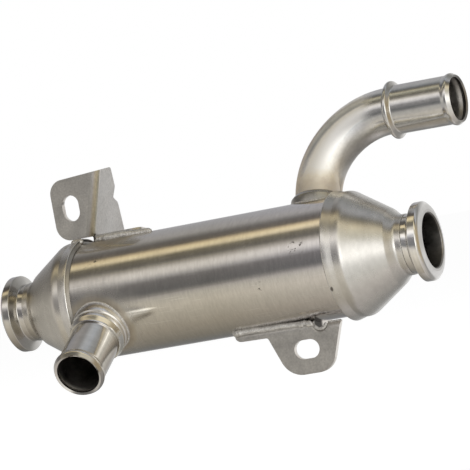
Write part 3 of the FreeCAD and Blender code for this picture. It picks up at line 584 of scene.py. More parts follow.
# Each group's effect, its inputs with their defaults, and its outputs with their kinds
EFFECTS = {
    "Turned Grain": (
        turned_grain, {"Vector": NOWHERE, "Pitch": 0.0004, "Wander": 20.0}, GRAIN_OUTPUTS),
    "Sheet Grain": (
        sheet_grain, {"Vector": NOWHERE, "Grain": 0.0006, "Mottle": 0.008}, GRAIN_OUTPUTS),
    "Handling Marks": (
        handling_marks, {"Vector": NOWHERE, "Amount": 0.5},
        {"Scratches": FLOAT, "Smudges": FLOAT}),
    "Mark Patch": (
        mark_patch, {"Vector": NOWHERE, "Centre": NOWHERE, "Reach": (0.004,) * 3, "Fill": 0.0},
        {"Mask": FLOAT}),
    "Fold Tone": (fold_tone, {"Normal": NOWHERE}, {"Tone": COLOUR}),
    "Turned Facing": (
        turned_facing,
        {"Normal": NOWHERE, "Axis": (1, 0, 0), "First": (0, 0, 1), "Second": (0, -1, 0)},
        {"Turn": FLOAT, "Across": FLOAT, "Along": FLOAT}),
    "Cut Edge": (
        cut_edge,
        {"Normal": NOWHERE, "Skin": (0, 1, 0), "Folded Skin": (0, 1, 0), "Start": 0.75},
        {"Mask": FLOAT}),
    "Weld Heat": (
        weld_heat, {"Vector": NOWHERE, "Centre": NOWHERE, "Start": 0.01, "Reach": 0.006},
        {"Film": COLOUR, "Mask": FLOAT}),
    "Inner Face": (
        inner_face,
        {"Vector": NOWHERE, "Normal": NOWHERE, "Axis Point": NOWHERE, "Axis": (1, 0, 0)},
        {"Mask": FLOAT}),
}


# Materials

# What a finish says in its look, with the values that hold where it says nothing. Every look also
# gives "colour", "roughness" and "depth", the depth of its grain. A turned look gives "pitch",
# the distance between its lines, and a sheet's gives "grain" and "mottle", the sizes of its grain
# and its spots. The rest are there or left out: "painted_sheen", a ramp of painted reflection
# round the axis, goes with "painted_face_light", a range of facing along the axis and the painted
# tone there; "bend" is where the painted sheen of a bend starts to fade along X and where it is
# gone, in millimetres, and "bend_roughness" what the bend adds; "inner" is the brightness of the
# painted shade in a bore, "mouth" the middle of its open end and "inner_start" how deep the plain
# mouth goes, in metres. "fold_tone", a painted reflection on the fold, and "edge_colour" with
# "edge_start" are for folded sheet.
PLAIN_LOOK = {
    # The piece's axis, a point on it, and the direction where the painted sheen starts
    "axis": (1, 0, 0), "axis_point": (0, 0, 0), "painted_sheen_start": (0, 0, 1),
    # Change of the lines round the axis per metre, and brightness of the darker bands
    "wander": 20.0, "tone_low": 0.86,
    # Spread of brightness from fleck to fleck, roughness of smudges, strength of scratches
    "speckle": 0.05, "smudge": 0.06, "scratches": 0.4,
    # The second skin of folded sheet
    "folded_skin": (0, 1, 0),
    # Painted light and shade at the ends: where a tone starts and is full along X in millimetres,
    # and the tone
    "painted_end_light": (),
    # Marks, painted highlights and painted shade: centre, reach, 1 for filled or 0 for scribbled,
    # colour, added roughness
    "patches": (),
    # Duller and heat-tinted places: centre, radius, width of the soft edge
    "dull": (), "heat": (), "heat_strength": 0.5,
}


def start_material(name):
    """A new material, its node tree and its Principled shader."""
    material = bpy.data.materials.new(name)
    material.use_nodes = True
    tree = material.node_tree
    return material, tree, tree.nodes["Principled BSDF"]


def rotation_to_x(axis):
    """The Euler turn that carries a direction onto +X, for a Mapping node."""
    return tuple(Vector(axis).rotation_difference(X_AXIS).to_euler())


def grain_of(tree, look, place):
    """The lines of a turned piece or the grain of a sheet."""
    if "pitch" in look:
        own = vector_maths(tree, "SUBTRACT", place, look["axis_point"])
        return place_group(tree, "Turned Grain", {
            "Vector": mapping(tree, own, rotation_to_x(look["axis"])),
            "Pitch": look["pitch"], "Wander": look["wander"],
        })
    return place_group(tree, "Sheet Grain", {
        "Vector": place, "Grain": look["grain"], "Mottle": look["mottle"],
    })


def plain_tone(tree, look, grain, scratches):
    """The steel's own colour with its bands, scratches and flecks."""
    colour = look["colour"]
    dark = [part * look["tone_low"] for part in colour]
    tone = blend(tree, grain["Tone"], opaque(dark), opaque(colour))
    tone = blend(tree, scratches, tone, SCRATCH_COLOUR)
    spread = look["speckle"]
    fleck = span(tree, grain["Fleck"], *FLECK_RANGE, 1 - spread, 1 + spread)
    return blend(tree, 1.0, tone, grey(tree, fleck), "MULTIPLY")


def turned_tone(tree, look, normal, tone):
    """Painted sheen round a turned piece, and painted light and shade on its faces square to its
    axis.
    """
    start = Vector(look["painted_sheen_start"])
    facing = place_group(tree, "Turned Facing", {
        "Normal": normal, "Axis": look["axis"], "First": start,
        "Second": Vector(look["axis"]).cross(start),
    })
    tone = tint(tree, facing["Across"], tone, ramp(tree, facing["Turn"], look["painted_sheen"]))
    low, high, share = look["painted_face_light"]
    return tint(tree, span(tree, facing["Along"], low, high), tone, opaque(share))


def bend_finish(tree, look, normal, place, tone, rough):
    """The painted sheen and the roughness of a pipe's bend."""
    fading, gone = look["bend"]
    on_bend = span(tree, parts_of(tree, place)["X"], gone * MM, fading * MM)
    facing = place_group(tree, "Turned Facing", {"Normal": normal})
    tone = tint(tree, on_bend, tone, ramp(tree, facing["Turn"], BEND_SHEEN))
    return tone, roughen(tree, rough, on_bend, look["bend_roughness"])


def edge_finish(tree, look, normal, tone, rough):
    """The brighter, smoother cut edges of a sheet."""
    edge = place_group(tree, "Cut Edge", {
        "Normal": normal, "Start": look["edge_start"], "Folded Skin": look["folded_skin"],
    })["Mask"]
    tone = blend(tree, edge, tone, look["edge_colour"])
    return tone, roughen(tree, rough, edge, EDGE_ROUGHNESS)


def bore_finish(tree, look, geometry, place, smudges, tone, rough):
    """Painted shade on the faces that look at a piece's axis, darkened and mottled, from the mouth
    or a little behind it.
    """
    inner = place_group(tree, "Inner Face", {
        "Vector": geometry["Position"], "Normal": geometry["Normal"],
        "Axis Point": look["axis_point"], "Axis": look["axis"],
    })["Mask"]
    soot = span(tree, smudges, *SOOT_RANGE, *SOOT_TONES)
    shade = [look["inner"] * part for part in SOOT_COLOUR]
    inside = blend(tree, 1.0, grey(tree, soot), opaque(shade), "MULTIPLY")
    if "mouth" in look:
        depth = vector_maths(tree, "SUBTRACT", look["mouth"], place)
        depth = vector_value(tree, "DOT_PRODUCT", depth, look["axis"])
        start = look["inner_start"]
        inner = maths(tree, "MULTIPLY", inner, span(tree, depth, start, start * MOUTH_FADE))
    tone = blend(tree, inner, tone, inside)
    return tone, roughen(tree, rough, inner, INNER_ROUGHNESS)


def steel(name, look):
    """A stainless finish from one look: grain, tone, marks and weld heat, with painted sheens,
    painted light and shade at the ends and painted shade in the bores.
    """
    look = {**PLAIN_LOOK, **look}
    material, tree, shader = start_material(name)
    shader.inputs["Metallic"].default_value = 1.0
    geometry = add(tree, "ShaderNodeNewGeometry").outputs
    normal = geometry["Normal"]
    place = add(tree, "ShaderNodeTexCoord").outputs["Object"]
    grain = grain_of(tree, look, place)
    marks = place_group(tree, "Handling Marks", {"Vector": place, "Amount": look["scratches"]})

    tone = plain_tone(tree, look, grain, marks["Scratches"])
    rough = maths(tree, "MULTIPLY", marks["Smudges"], look["smudge"])
    rough = maths(tree, "ADD", rough, look["roughness"])
    # Painted reflection on a fold, golden further round
    if "fold_tone" in look:
        fold = place_group(tree, "Fold Tone", {"Normal": normal})["Tone"]
        tone = blend(tree, 1.0, tone, fold, "MULTIPLY")
    # Painted sheen: reflections and highlights painted round the piece's axis, and painted light
    # and shade on its faces square to the axis
    if "painted_sheen" in look:
        tone = turned_tone(tree, look, normal, tone)
    # Painted sheen on a pipe's bend, with its added roughness
    if "bend" in look:
        tone, rough = bend_finish(tree, look, normal, place, tone, rough)
    # Painted light and shade towards the ends, by place along X
    for first, last, colour in look["painted_end_light"]:
        at_end = span(tree, parts_of(tree, place)["X"], first * MM, last * MM)
        tone = tint(tree, at_end, tone, opaque(colour))
    if "edge_colour" in look:
        tone, rough = edge_finish(tree, look, normal, tone, rough)
    # Patches: scuffs, and the painted highlight and painted shade patches
    for centre, reach, fill, colour, rougher in look["patches"]:
        patch = place_group(tree, "Mark Patch", {
            "Vector": place, "Centre": centre, "Reach": reach, "Fill": fill,
        })["Mask"]
        strength = maths(tree, "MULTIPLY", patch, PATCH_STRENGTH)
        tone = blend(tree, strength, tone, opaque(colour))
        rough = roughen(tree, rough, patch, rougher)
    for centre, start, reach in look["dull"]:
        dull = place_group(tree, "Weld Heat", {
            "Vector": place, "Centre": centre, "Start": start, "Reach": reach,
        })
        rough = roughen(tree, rough, dull["Mask"], DULL_ROUGHNESS)
    for centre, start, reach in look["heat"]:
        heat = place_group(tree, "Weld Heat", {
            "Vector": place, "Centre": centre, "Start": start, "Reach": reach,
        })
        tone = tint(tree, look["heat_strength"], tone, heat["Film"])
        rough = roughen(tree, rough, heat["Mask"], HEAT_ROUGHNESS)
    # Painted shade in the bores, deeper than the plain mouth
    if "inner" in look:
        tone, rough = bore_finish(tree, look, geometry, place, marks["Smudges"], tone, rough)

    bump = add(tree, "ShaderNodeBump", {
        "Strength": 1.0, "Distance": look["depth"], "Height": grain["Height"],
    })
    feed(tree, shader.inputs["Base Color"], tone)
    feed(tree, shader.inputs["Roughness"], rough)
    feed(tree, shader.inputs["Normal"], bump.outputs[0])
    return material


def dress(material, *nodes):
    """Gives CAD nodes a finish."""
    for name in nodes:
        data = NODES[name].data
        data.materials.clear()
        data.materials.append(material)


def soften_edges(width, *nodes):
    """Breaks the sharp edges of CAD nodes, as deburring does."""
    for name in nodes:
        weld = NODES[name].modifiers.new("joined_corners", "WELD")
        weld.merge_threshold = CORNER_JOIN
        bevel = NODES[name].modifiers.new("broken_edges", "BEVEL")
        bevel.width = width
        bevel.segments = EDGE_SEGMENTS
        bevel.limit_method = "ANGLE"
        bevel.angle_limit = EDGE_TURN
        bevel.harden_normals = True


# Places on the cooler


def in_metres(*vectors):
    """Vectors in millimetres as tuples in metres."""
    return [tuple(value * MM for value in vector) for vector in vectors]


def shell_point(x, turn):
    """A point on the shell's outside: millimetres along it, degrees from the top to the front."""
    angle = math.radians(turn)
    return Vector((x * MM, -SHELL_R * math.sin(angle), SHELL_R * math.cos(angle)))


def port_frame(port):
    """The axis direction of a port and the direction across it, both square to the shell."""
    clock = math.radians(port["clock"])
    up = Vector((0, -math.sin(clock), math.cos(clock)))
    return up, up.cross(X_AXIS)


def saddle_centre(port):
    """Where a port's axis meets the shell's outside."""
    return Vector((port["x"], 0, 0)) + port_frame(port)[0] * SHELL_R


def saddle_point(port, ring_r, angle, surface_r):
    """A point at an angle round a port's axis, on a cylinder about the shell's axis."""
    up, across = port_frame(port)
    side = ring_r * math.sin(angle)
    height = math.sqrt(surface_r ** 2 - side ** 2)
    return Vector((port["x"] + ring_r * math.cos(angle), 0, 0)) + across * side + up * height


# Weld beads


def lay_bead(
    mesh, path, radius, ripple_pitch, ripple_depth, closed=False, flatness=BEAD_FLATNESS,
    taper=0.0,
):
    """Adds a weld bead along a path of (point, outward) pairs, with overlapping ripples.

    The taper is the share of the radius that an open bead loses towards its end.
    """
    rings = []
    travelled = 0.0
    total = sum((b[0] - a[0]).length for a, b in zip(path, path[1:]))
    for index, (point, outward) in enumerate(path):
        if index:
            travelled += (point - path[index - 1][0]).length
        before = path[index - 1][0] if index or closed else point
        after = path[(index + 1) % len(path)][0] if index < len(path) - 1 or closed else point
        forward = (after - before).normalized()
        up = (outward - forward * outward.dot(forward)).normalized()
        side = forward.cross(up)
        phase = travelled / ripple_pitch
        scale = 1 - ripple_depth * (1 - abs(math.sin(math.pi * phase)))
        if not closed:
            scale *= 1 - taper * travelled / total
            from_end = min(travelled, total - travelled) / radius
            dome = math.sqrt(max(0.0, 1 - max(0.0, 1 - from_end) ** 2))
            scale *= dome * (1 - BEAD_TIP) + BEAD_TIP
        ring = []
        for step in range(BEAD_SIDES):
            turn = 2 * math.pi * step / BEAD_SIDES
            lag = RIPPLE_LAG * ripple_pitch * math.sin(turn)
            offset = side * math.cos(turn) + up * (math.sin(turn) * flatness)
            ring.append(mesh.verts.new(point + offset * (radius * scale) + forward * lag))
        rings.append(ring)
    pairs = list(zip(rings, rings[1:]))
    if closed:
        pairs.append((rings[-1], rings[0]))
    for first, second in pairs:
        for step in range(BEAD_SIDES):
            following = (step + 1) % BEAD_SIDES
            mesh.faces.new((first[step], first[following], second[following], second[step]))
    if not closed:
        mesh.faces.new(list(reversed(rings[0])))
        mesh.faces.new(rings[-1])


def collar_bead_path(port, ripple_pitch):
    """Points round a collar's foot, and the pitch nearest to the given one that fits it."""
    ring_r = port["foot_r"] + BEAD_STANDOFF
    ripples = round(2 * math.pi * ring_r / ripple_pitch)
    count = ripples * STEPS_PER_RIPPLE
    up, across = port_frame(port)
    path = []
    for index in range(count):
        angle = 2 * math.pi * index / count
        point = saddle_point(port, ring_r, angle, SHELL_R + BEAD_STANDOFF)
        path.append((point, X_AXIS * math.cos(angle) + across * math.sin(angle) + up))
    return path, 2 * math.pi * ring_r / ripples


def straight_bead_path(start, end, outward, ripple_pitch, sway):
    """Points from start to end, swaying a little as a hand-laid bead does."""
    outward = outward.normalized()
    length = (end - start).length
    forward = (end - start) / length
    side = forward.cross(outward)
    count = max(FEWEST_STEPS, round(STEPS_PER_RIPPLE * length / ripple_pitch))
    path = []
    for index in range(count + 1):
        along = length * index / count
        bend = sway * sum(
            share * math.sin(along / wave + phase) for wave, share, phase in SWAY_WAVES
        )
        path.append((start + forward * along + side * bend, outward))
    return path


def notch_bead_path():
    """Points round the lower rim of the lower bracket's notch, from its left end."""
    centre, radius, first, last, _ = NOTCH_BEAD
    path = []
    for step in range(NOTCH_STEPS + 1):
        angle = math.radians(first + (last - first) * step / NOTCH_STEPS)
        offset = Vector((math.cos(angle), 0, math.sin(angle))) * radius
        path.append(((Vector(centre) + offset) * MM, Vector((0, -1, 0))))
    return path


def finish_piece(name, mesh, smooth=True):
    """Turns bmesh data into a linked object with its faces turned outwards."""
    bmesh.ops.recalc_face_normals(mesh, faces=mesh.faces)
    data = bpy.data.meshes.new(name)
    mesh.to_mesh(data)
    mesh.free()
    for polygon in data.polygons:
        polygon.use_smooth = smooth
    piece = bpy.data.objects.new(name, data)
    bpy.context.scene.collection.objects.link(piece)
    return piece


def seat(piece, material, slot_name, *replaced):
    """Gives a piece its finish and its body, and hides the CAD nodes that it stands in for."""
    piece.data.materials.append(material)
    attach(piece, "root")
    if replaced:
        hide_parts(*replaced)


# Settings


def colour_setting(name, description, default):
    """A colour that the user may change."""
    return FloatVectorProperty(
        name=name, description=description, default=default, size=3, min=0, max=1,
        subtype="COLOR",
    )


def length_setting(name, description, default, low, high, precision=5):
    """A length that the user may change, given here in millimetres."""
    return FloatProperty(
        name=name, description=description, default=default * MM, min=low * MM, max=high * MM,
        precision=precision, unit="LENGTH",
    )


def share_setting(name, description, default, high):
    """A share that the user may change."""
    return FloatProperty(
        name=name, description=description, default=default, min=0, max=high, subtype="FACTOR",
    )


class CoolerFinish(bpy.types.PropertyGroup):
    """Colours and grain of the steel."""
    shell_colour: colour_setting(
        "Shell colour", "Brushed steel of the shell", (0.62, 0.595, 0.555))
    spun_colour: colour_setting(
        "Cone colour", "Satin steel of the spun cones", (0.66, 0.645, 0.62))
    inlet_flange_colour: colour_setting(
        "Inlet flange colour", "Turned steel of the inlet flange", (0.56, 0.54, 0.51))
    outlet_flange_colour: colour_setting(
        "Outlet flange colour", "Turned steel of the outlet flange", (0.80, 0.785, 0.76))
    inlet_collar_colour: colour_setting(
        "Inlet collar colour", "Turned steel of the inlet collar", (0.68, 0.66, 0.63))
    outlet_collar_colour: colour_setting(
        "Outlet collar colour", "Heat-dulled steel of the outlet collar", (0.39, 0.38, 0.365))
    pipe_colour: colour_setting(
        "Bent pipe colour", "Polished tube of the bent outlet pipe", (0.66, 0.64, 0.61))
    spigot_colour: colour_setting(
        "Spigot colour", "Duller tube of the short inlet spigot", (0.56, 0.54, 0.515))
    sheet_colour: colour_setting(
        "Bracket colour", "Matt pressed sheet of the brackets", (0.60, 0.585, 0.565))
    weld_colour: colour_setting(
        "Weld colour", "Weld metal as laid", (0.70, 0.69, 0.68))
    braze_colour: colour_setting(
        "Braze colour", "Pale braze fillets in the skirts' mouths", (0.45, 0.43, 0.40))
    inside_colour: colour_setting(
        "Inside colour", "Tube plates, gas tubes and baffles", (0.30, 0.28, 0.26))
    sheet_edge: length_setting(
        "Broken edge", "Width of the broken edges of the bracket sheet", 0.6, 0, 2)
    turned_edge: length_setting(
        "Turned edge", "Width of the broken edges of turned and spun pieces", 0.2, 0, 1)
    brushing_pitch: length_setting(
        "Brushing pitch", "Distance between brushing lines on the shell", 0.35, 0.05, 5)
    brushing_depth: length_setting(
        "Brushing depth", "Depth of the brushing on the shell", 0.003, 0, 0.2, precision=6)


class CoolerWelds(bpy.types.PropertyGroup):
    """Sizes of the weld beads."""
    collar_bead_r: length_setting(
        "Collar bead radius", "Half the width of the beads round the collars", 0.75, 0.1, 3)
    bracket_bead_r: length_setting(
        "Bracket bead radius", "Half the width of the beads on the brackets", 1.9, 0.1, 4)
    ripple_pitch: length_setting(
        "Ripple pitch", "Distance from one weld ripple to the next", 1.1, 0.2, 5)
    ripple_depth: share_setting(
        "Ripple depth", "How deep the ripples are, as a share of the bead", 0.22, 0.6)
    bracket_ripple: share_setting(
        "Bracket ripple depth", "The same for the beads on the brackets", 0.14, 0.6)


class CoolerStage(bpy.types.PropertyGroup):
    """Floor, lamp and camera."""
    floor_drop: FloatProperty(
        name="Floor drop", description="From the cooler's lowest point down to the floor",
        default=0.07, min=0, max=1, unit="LENGTH",
    )
    floor_colour: colour_setting("Floor colour", "Colour of the plain floor", (0.9, 0.9, 0.9))
    camera_place: FloatVectorProperty(
        name="Camera place", description="Where the camera stands",
        default=(0.71556, -1.33933, 0.02014), size=3, unit="LENGTH",
    )
    camera_azimuth: FloatProperty(
        name="Camera azimuth", description="Turn of the level line of sight from +Y towards -X",
        default=math.radians(23.61), unit="ROTATION",
    )
    camera_roll: FloatProperty(
        name="Camera roll", description="Turn of the camera about its line of sight",
        default=math.radians(10.58), unit="ROTATION",
    )
    camera_lens: FloatProperty(
        name="Camera lens", description="Focal length on a 36 mm sensor, in millimetres",
        default=222.94, min=10, max=500,
    )
    key_lamp_power: FloatProperty(
        name="Key lamp power", description="Power of the large soft lamp above, in watts",
        default=9.0, min=0, max=200,
    )


# Operators


class COOLER_OT_shared_effects(bpy.types.Operator):
    """Builds the shader node groups that the finishes share"""
    bl_idname = "cooler.shared_effects"
    bl_label = "Shared effects"

    def execute(self, context):
        for name, (effect, inputs, outputs) in EFFECTS.items():
            build_group(name, effect, inputs, outputs)
        return {"FINISHED"}


class COOLER_OT_shell(bpy.types.Operator):
    """Finishes the brushed shell, with its scuffs, the heat film round its ports, a painted
    highlight streak and painted light and shade towards its ends
    """
    bl_idname = "cooler.shell"
    bl_label = "Shell"

    def execute(self, context):
        finish = context.scene.cooler_finish
        patches = [
            (shell_point(x, turn), (reach * MM,) * 3, *SCUFF)
            for x, turn, reach in SHELL_SCUFFS
        ]
        # Painted highlight: the bright glint streak beside the inlet collar
        x, turn, half_length, half_width = SHELL_STREAK
        streak_reach = (half_length * MM, half_width * MM, half_width * MM)
        patches.append((shell_point(x, turn), streak_reach, *RUBBED_STEEL))
        heat = [
            (saddle_centre(port), port["foot_r"], PORT_HEAT_EDGE * MM)
            for port in (INLET_PORT, OUTLET_PORT)
        ]
        heat.append((*in_metres(BRACKET_HEAT_CENTRE), *(size * MM for size in BRACKET_HEAT)))
        dull = [(saddle_centre(INLET_PORT), *(size * MM for size in INLET_PORT_DULL))]
        for x, turn, radius, edge in SHELL_DULL_SPOTS:
            dull.append((shell_point(x, turn), radius * MM, edge * MM))
        dress(steel("brushed_shell_steel", {
            "colour": finish.shell_colour, "pitch": finish.brushing_pitch,
            "depth": finish.brushing_depth, "roughness": 0.12, "tone_low": 0.95,
            "wander": 14.0, "scratches": 0.5, "patches": patches, "heat": heat, "dull": dull,
            # Painted light towards the shell's outlet end and painted shade towards its inlet end
            "painted_end_light": SHELL_END_TONES,
        }), "shell_tube")
        return {"FINISHED"}


class COOLER_OT_cones(bpy.types.Operator):
    """Finishes the two spun cones"""
    bl_idname = "cooler.cones"
    bl_label = "Cones"

    def execute(self, context):
        finish = context.scene.cooler_finish
        cones = ("inlet_cone", "outlet_cone")
        dress(steel("satin_cone_steel", {
            "colour": finish.spun_colour, "pitch": 0.7 * MM, "depth": 0.008 * MM,
            # Painted shade in the cones' bores
            "roughness": 0.24, "smudge": 0.08, "wander": 18.0, "scratches": 0.3, "inner": 0.3,
            # Painted sheen round the cones' axis and painted shade on their faces square to it
            "tone_low": 0.9, "painted_sheen": LATHE_SHEEN, "painted_face_light": (0.85, 0.97, 0.8),
            # Painted shade at the inlet cone's narrowing
            "painted_end_light": CONE_END_TONES,
            # Painted shade: a dark spot for a nick in the outlet skirt's lip
            "patches": [(*in_metres(*LIP_BURR), *BURR)],
        }), *cones)
        soften_edges(finish.turned_edge, *cones)
        return {"FINISHED"}


class COOLER_OT_flanges(bpy.types.Operator):
    """Finishes the turned flanges"""
    bl_idname = "cooler.flanges"
    bl_label = "Flanges"

    def execute(self, context):
        finish = context.scene.cooler_finish
        for name in ("inlet_flange", "outlet_flange"):
            # Painted sheen round each flange's axis and painted shade on its faces square to it
            dress(steel(name + "_steel", {
                "colour": getattr(finish, name + "_colour"), "pitch": 0.35 * MM,
                "depth": 0.003 * MM, "roughness": 0.1, "smudge": 0.05, "wander": 30.0,
                # Painted shade in the flange's bore
                "scratches": 0.2, "inner": 0.3, "painted_sheen": LATHE_SHEEN,
                "painted_face_light": (0.85, 0.97, 0.8),
            }), name)
            soften_edges(finish.turned_edge, name)
        return {"FINISHED"}


class COOLER_OT_pipes(bpy.types.Operator):
    """Finishes the coolant pipes and their collars"""
    bl_idname = "cooler.pipes"
    bl_label = "Coolant pipes"

    def execute(self, context):
        finish = context.scene.cooler_finish
        inlet_mouth = MOUNTS["coolant_inlet_hose_end"]
        outlet_mouth = MOUNTS["coolant_outlet_hose_end"]
        inlet_side = {
            "axis": inlet_mouth["axis"], "axis_point": (INLET_PORT["x"], 0, 0),
            "painted_sheen_start": (1, 0, 0),
        }
        turned = {"pitch": 0.35 * MM, "depth": 0.003 * MM}
        dress(steel("spigot_steel", {
            **inlet_side, "colour": finish.spigot_colour, "pitch": 0.5 * MM,
            "depth": 0.003 * MM, "roughness": 0.14, "smudge": 0.05, "wander": 25.0,
            # Painted shade in the spigot's bore, behind its plain mouth
            "inner": 0.3, "inner_start": 3 * MM, "mouth": inlet_mouth["pos_m"],
            # Painted sheen round the spigot and a painted highlight on its end rim
            "painted_sheen": SPIGOT_SHEEN, "painted_face_light": (0.5, 0.85, 1.25),
        }), "coolant_inlet_pipe")
        dress(steel("bent_pipe_steel", {
            "colour": finish.pipe_colour, "grain": 0.7 * MM, "mottle": 9 * MM,
            # Painted shade in the bent pipe's bore
            "depth": 0.004 * MM, "roughness": 0.14, "smudge": 0.10, "inner": 0.42,
            # Painted sheen round the bent pipe, painted highlight on its end faces and painted
            # sheen on its bend
            "painted_sheen": BENT_PIPE_SHEEN, "painted_face_light": (0.85, 0.97, 1.3),
            "bend": BEND_FADE, "bend_roughness": 0.3, "heat_strength": 0.6,
            "heat": [(saddle_centre(OUTLET_PORT), *(size * MM for size in BENT_PIPE_HEAT))],
            "axis": outlet_mouth["axis"], "axis_point": outlet_mouth["pos_m"],
        }), "coolant_outlet_pipe")
        dress(steel("inlet_collar_steel", {
            **inlet_side, **turned, "colour": finish.inlet_collar_colour, "roughness": 0.16,
            # Painted sheen round the inlet collar
            "painted_sheen": COLLAR_SHEEN, "painted_face_light": (0.85, 0.97, 1.0),
        }), "coolant_inlet_collar")
        dress(steel("outlet_collar_steel", {
            **turned, "colour": finish.outlet_collar_colour, "roughness": 0.24,
            "axis": port_frame(OUTLET_PORT)[0], "axis_point": (OUTLET_PORT["x"], 0, 0),
        }), "coolant_outlet_collar")
        soften_edges(finish.turned_edge, "coolant_inlet_collar", "coolant_outlet_collar")
        return {"FINISHED"}


class COOLER_OT_brackets(bpy.types.Operator):
    """Finishes the two pressed brackets"""
    bl_idname = "cooler.brackets"
    bl_label = "Brackets"

    def execute(self, context):
        finish = context.scene.cooler_finish
        sheet = {
            "colour": finish.sheet_colour, "grain": 0.5 * MM, "mottle": 7 * MM,
            "depth": 0.02 * MM, "roughness": 0.4, "smudge": 0.1, "scratches": 0.5,
            "speckle": 0.12, "edge_colour": (0.88, 0.84, 0.79, 1.0),
        }
        dress(steel("upper_bracket_steel", {
            # Painted reflection on the upper bracket's fold
            **sheet, "fold_tone": True, "edge_start": 0.3, "folded_skin": GUSSET_FACING,
        }), "upper_bracket")
        dress(steel("lower_bracket_steel", {
            **sheet, "edge_start": 0.75,
            # Painted shade: a black patch in the notch, where the gap under the shell lies in
            # shade
            "patches": [(*in_metres(*NOTCH_SCALE), *DARK_SCALE)],
        }), "lower_bracket")
        soften_edges(finish.sheet_edge, "upper_bracket", "lower_bracket")
        return {"FINISHED"}


class COOLER_OT_inside(bpy.types.Operator):
    """Finishes the tube plates, gas tubes and baffles"""
    bl_idname = "cooler.inside"
    bl_label = "Inside pieces"

    def execute(self, context):
        finish = context.scene.cooler_finish
        names = ["inlet_header", "outlet_header", "front_baffle", "rear_baffle"]
        names += [name for name in NODES if name.startswith("gas_tube")]
        dress(steel("inside_steel", {
            "colour": finish.inside_colour, "grain": 0.8 * MM, "mottle": 6 * MM,
            "depth": 0.02 * MM, "roughness": 0.45, "smudge": 0.1,
        }), *names)
        return {"FINISHED"}


class COOLER_OT_welds(bpy.types.Operator):
    """Lays the rippled weld beads and finishes the braze in the skirts"""
    bl_idname = "cooler.welds"
    bl_label = "Welds"

    def execute(self, context):
        finish = context.scene.cooler_finish
        welds = context.scene.cooler_welds
        material = steel("weld_steel", {
            "colour": finish.weld_colour, "grain": 0.4 * MM, "mottle": 2.5 * MM,
            "depth": 0.03 * MM, "roughness": 0.5, "smudge": 0.12, "tone_low": 0.8,
            "speckle": 0.2,
        })
        dress(steel("braze_steel", {
            "colour": finish.braze_colour, "grain": 0.5 * MM, "mottle": 3 * MM,
            "depth": 0.01 * MM, "roughness": 0.35, "smudge": 0.1, "tone_low": 0.85,
        }), "inlet_skirt_braze", "outlet_skirt_braze")
        ports = {"coolant_inlet_weld": INLET_PORT, "coolant_outlet_weld": OUTLET_PORT}
        for name, port in ports.items():
            mesh = bmesh.new()
            path, pitch = collar_bead_path(port, welds.ripple_pitch)
            lay_bead(mesh, path, welds.collar_bead_r, pitch, welds.ripple_depth, closed=True)
            seat(finish_piece(name + "_bead", mesh), material, "weld_steel", name)
        for name, beads in BRACKET_BEADS.items():
            mesh = bmesh.new()
            for start, end, outward, share, pitch, sway, taper in beads:
                path = straight_bead_path(
                    Vector(start) * MM, Vector(end) * MM, Vector(outward), pitch * MM, sway * MM
                )
                lay_bead(mesh, path, welds.bracket_bead_r * share, pitch * MM,
                         welds.bracket_ripple, flatness=1.0, taper=taper)
            if name == "lower_bracket_weld":
                lay_bead(mesh, notch_bead_path(), NOTCH_BEAD[-1] * welds.bracket_bead_r,
                         welds.ripple_pitch, welds.bracket_ripple)
            seat(finish_piece(name + "_beads", mesh), material, "weld_steel", name)
        return {"FINISHED"}


class COOLER_OT_stage(bpy.types.Operator):
    """Builds the floor, the surroundings, the lamp and the camera"""
    bl_idname = "cooler.stage"
    bl_label = "Stage"

    def execute(self, context):
        settings = context.scene.cooler_stage
        context.scene.view_settings.view_transform = "Standard"
        build_floor(settings)
        build_surroundings(context.scene)
        build_lamp(settings)
        build_camera(context.scene, settings)
        return {"FINISHED"}


# Stage


def build_floor(settings):
    """A plain pale floor that shows white to the camera and keeps the cooler's shadow."""
    mesh = bmesh.new()
    bmesh.ops.create_grid(mesh, x_segments=1, y_segments=1, size=FLOOR_REACH)
    floor = finish_piece("floor", mesh, smooth=False)
    floor.location = (0, 0, CAD_BOX[0].z - settings.floor_drop)
    floor.visible_glossy = False
    material, tree, shader = start_material("plain_floor")
    seen = add(tree, "ShaderNodeLightPath").outputs["Is Camera Ray"]
    feed(tree, shader.inputs["Base Color"], opaque(settings.floor_colour))
    feed(tree, shader.inputs["Roughness"], FLOOR_ROUGHNESS)
    feed(tree, shader.inputs["Specular IOR Level"], 0.0)
    feed(tree, shader.inputs["Emission Color"], WHITE)
    feed(tree, shader.inputs["Emission Strength"], maths(tree, "MULTIPLY", seen, FLOOR_GLOW))
    floor.data.materials.append(material)


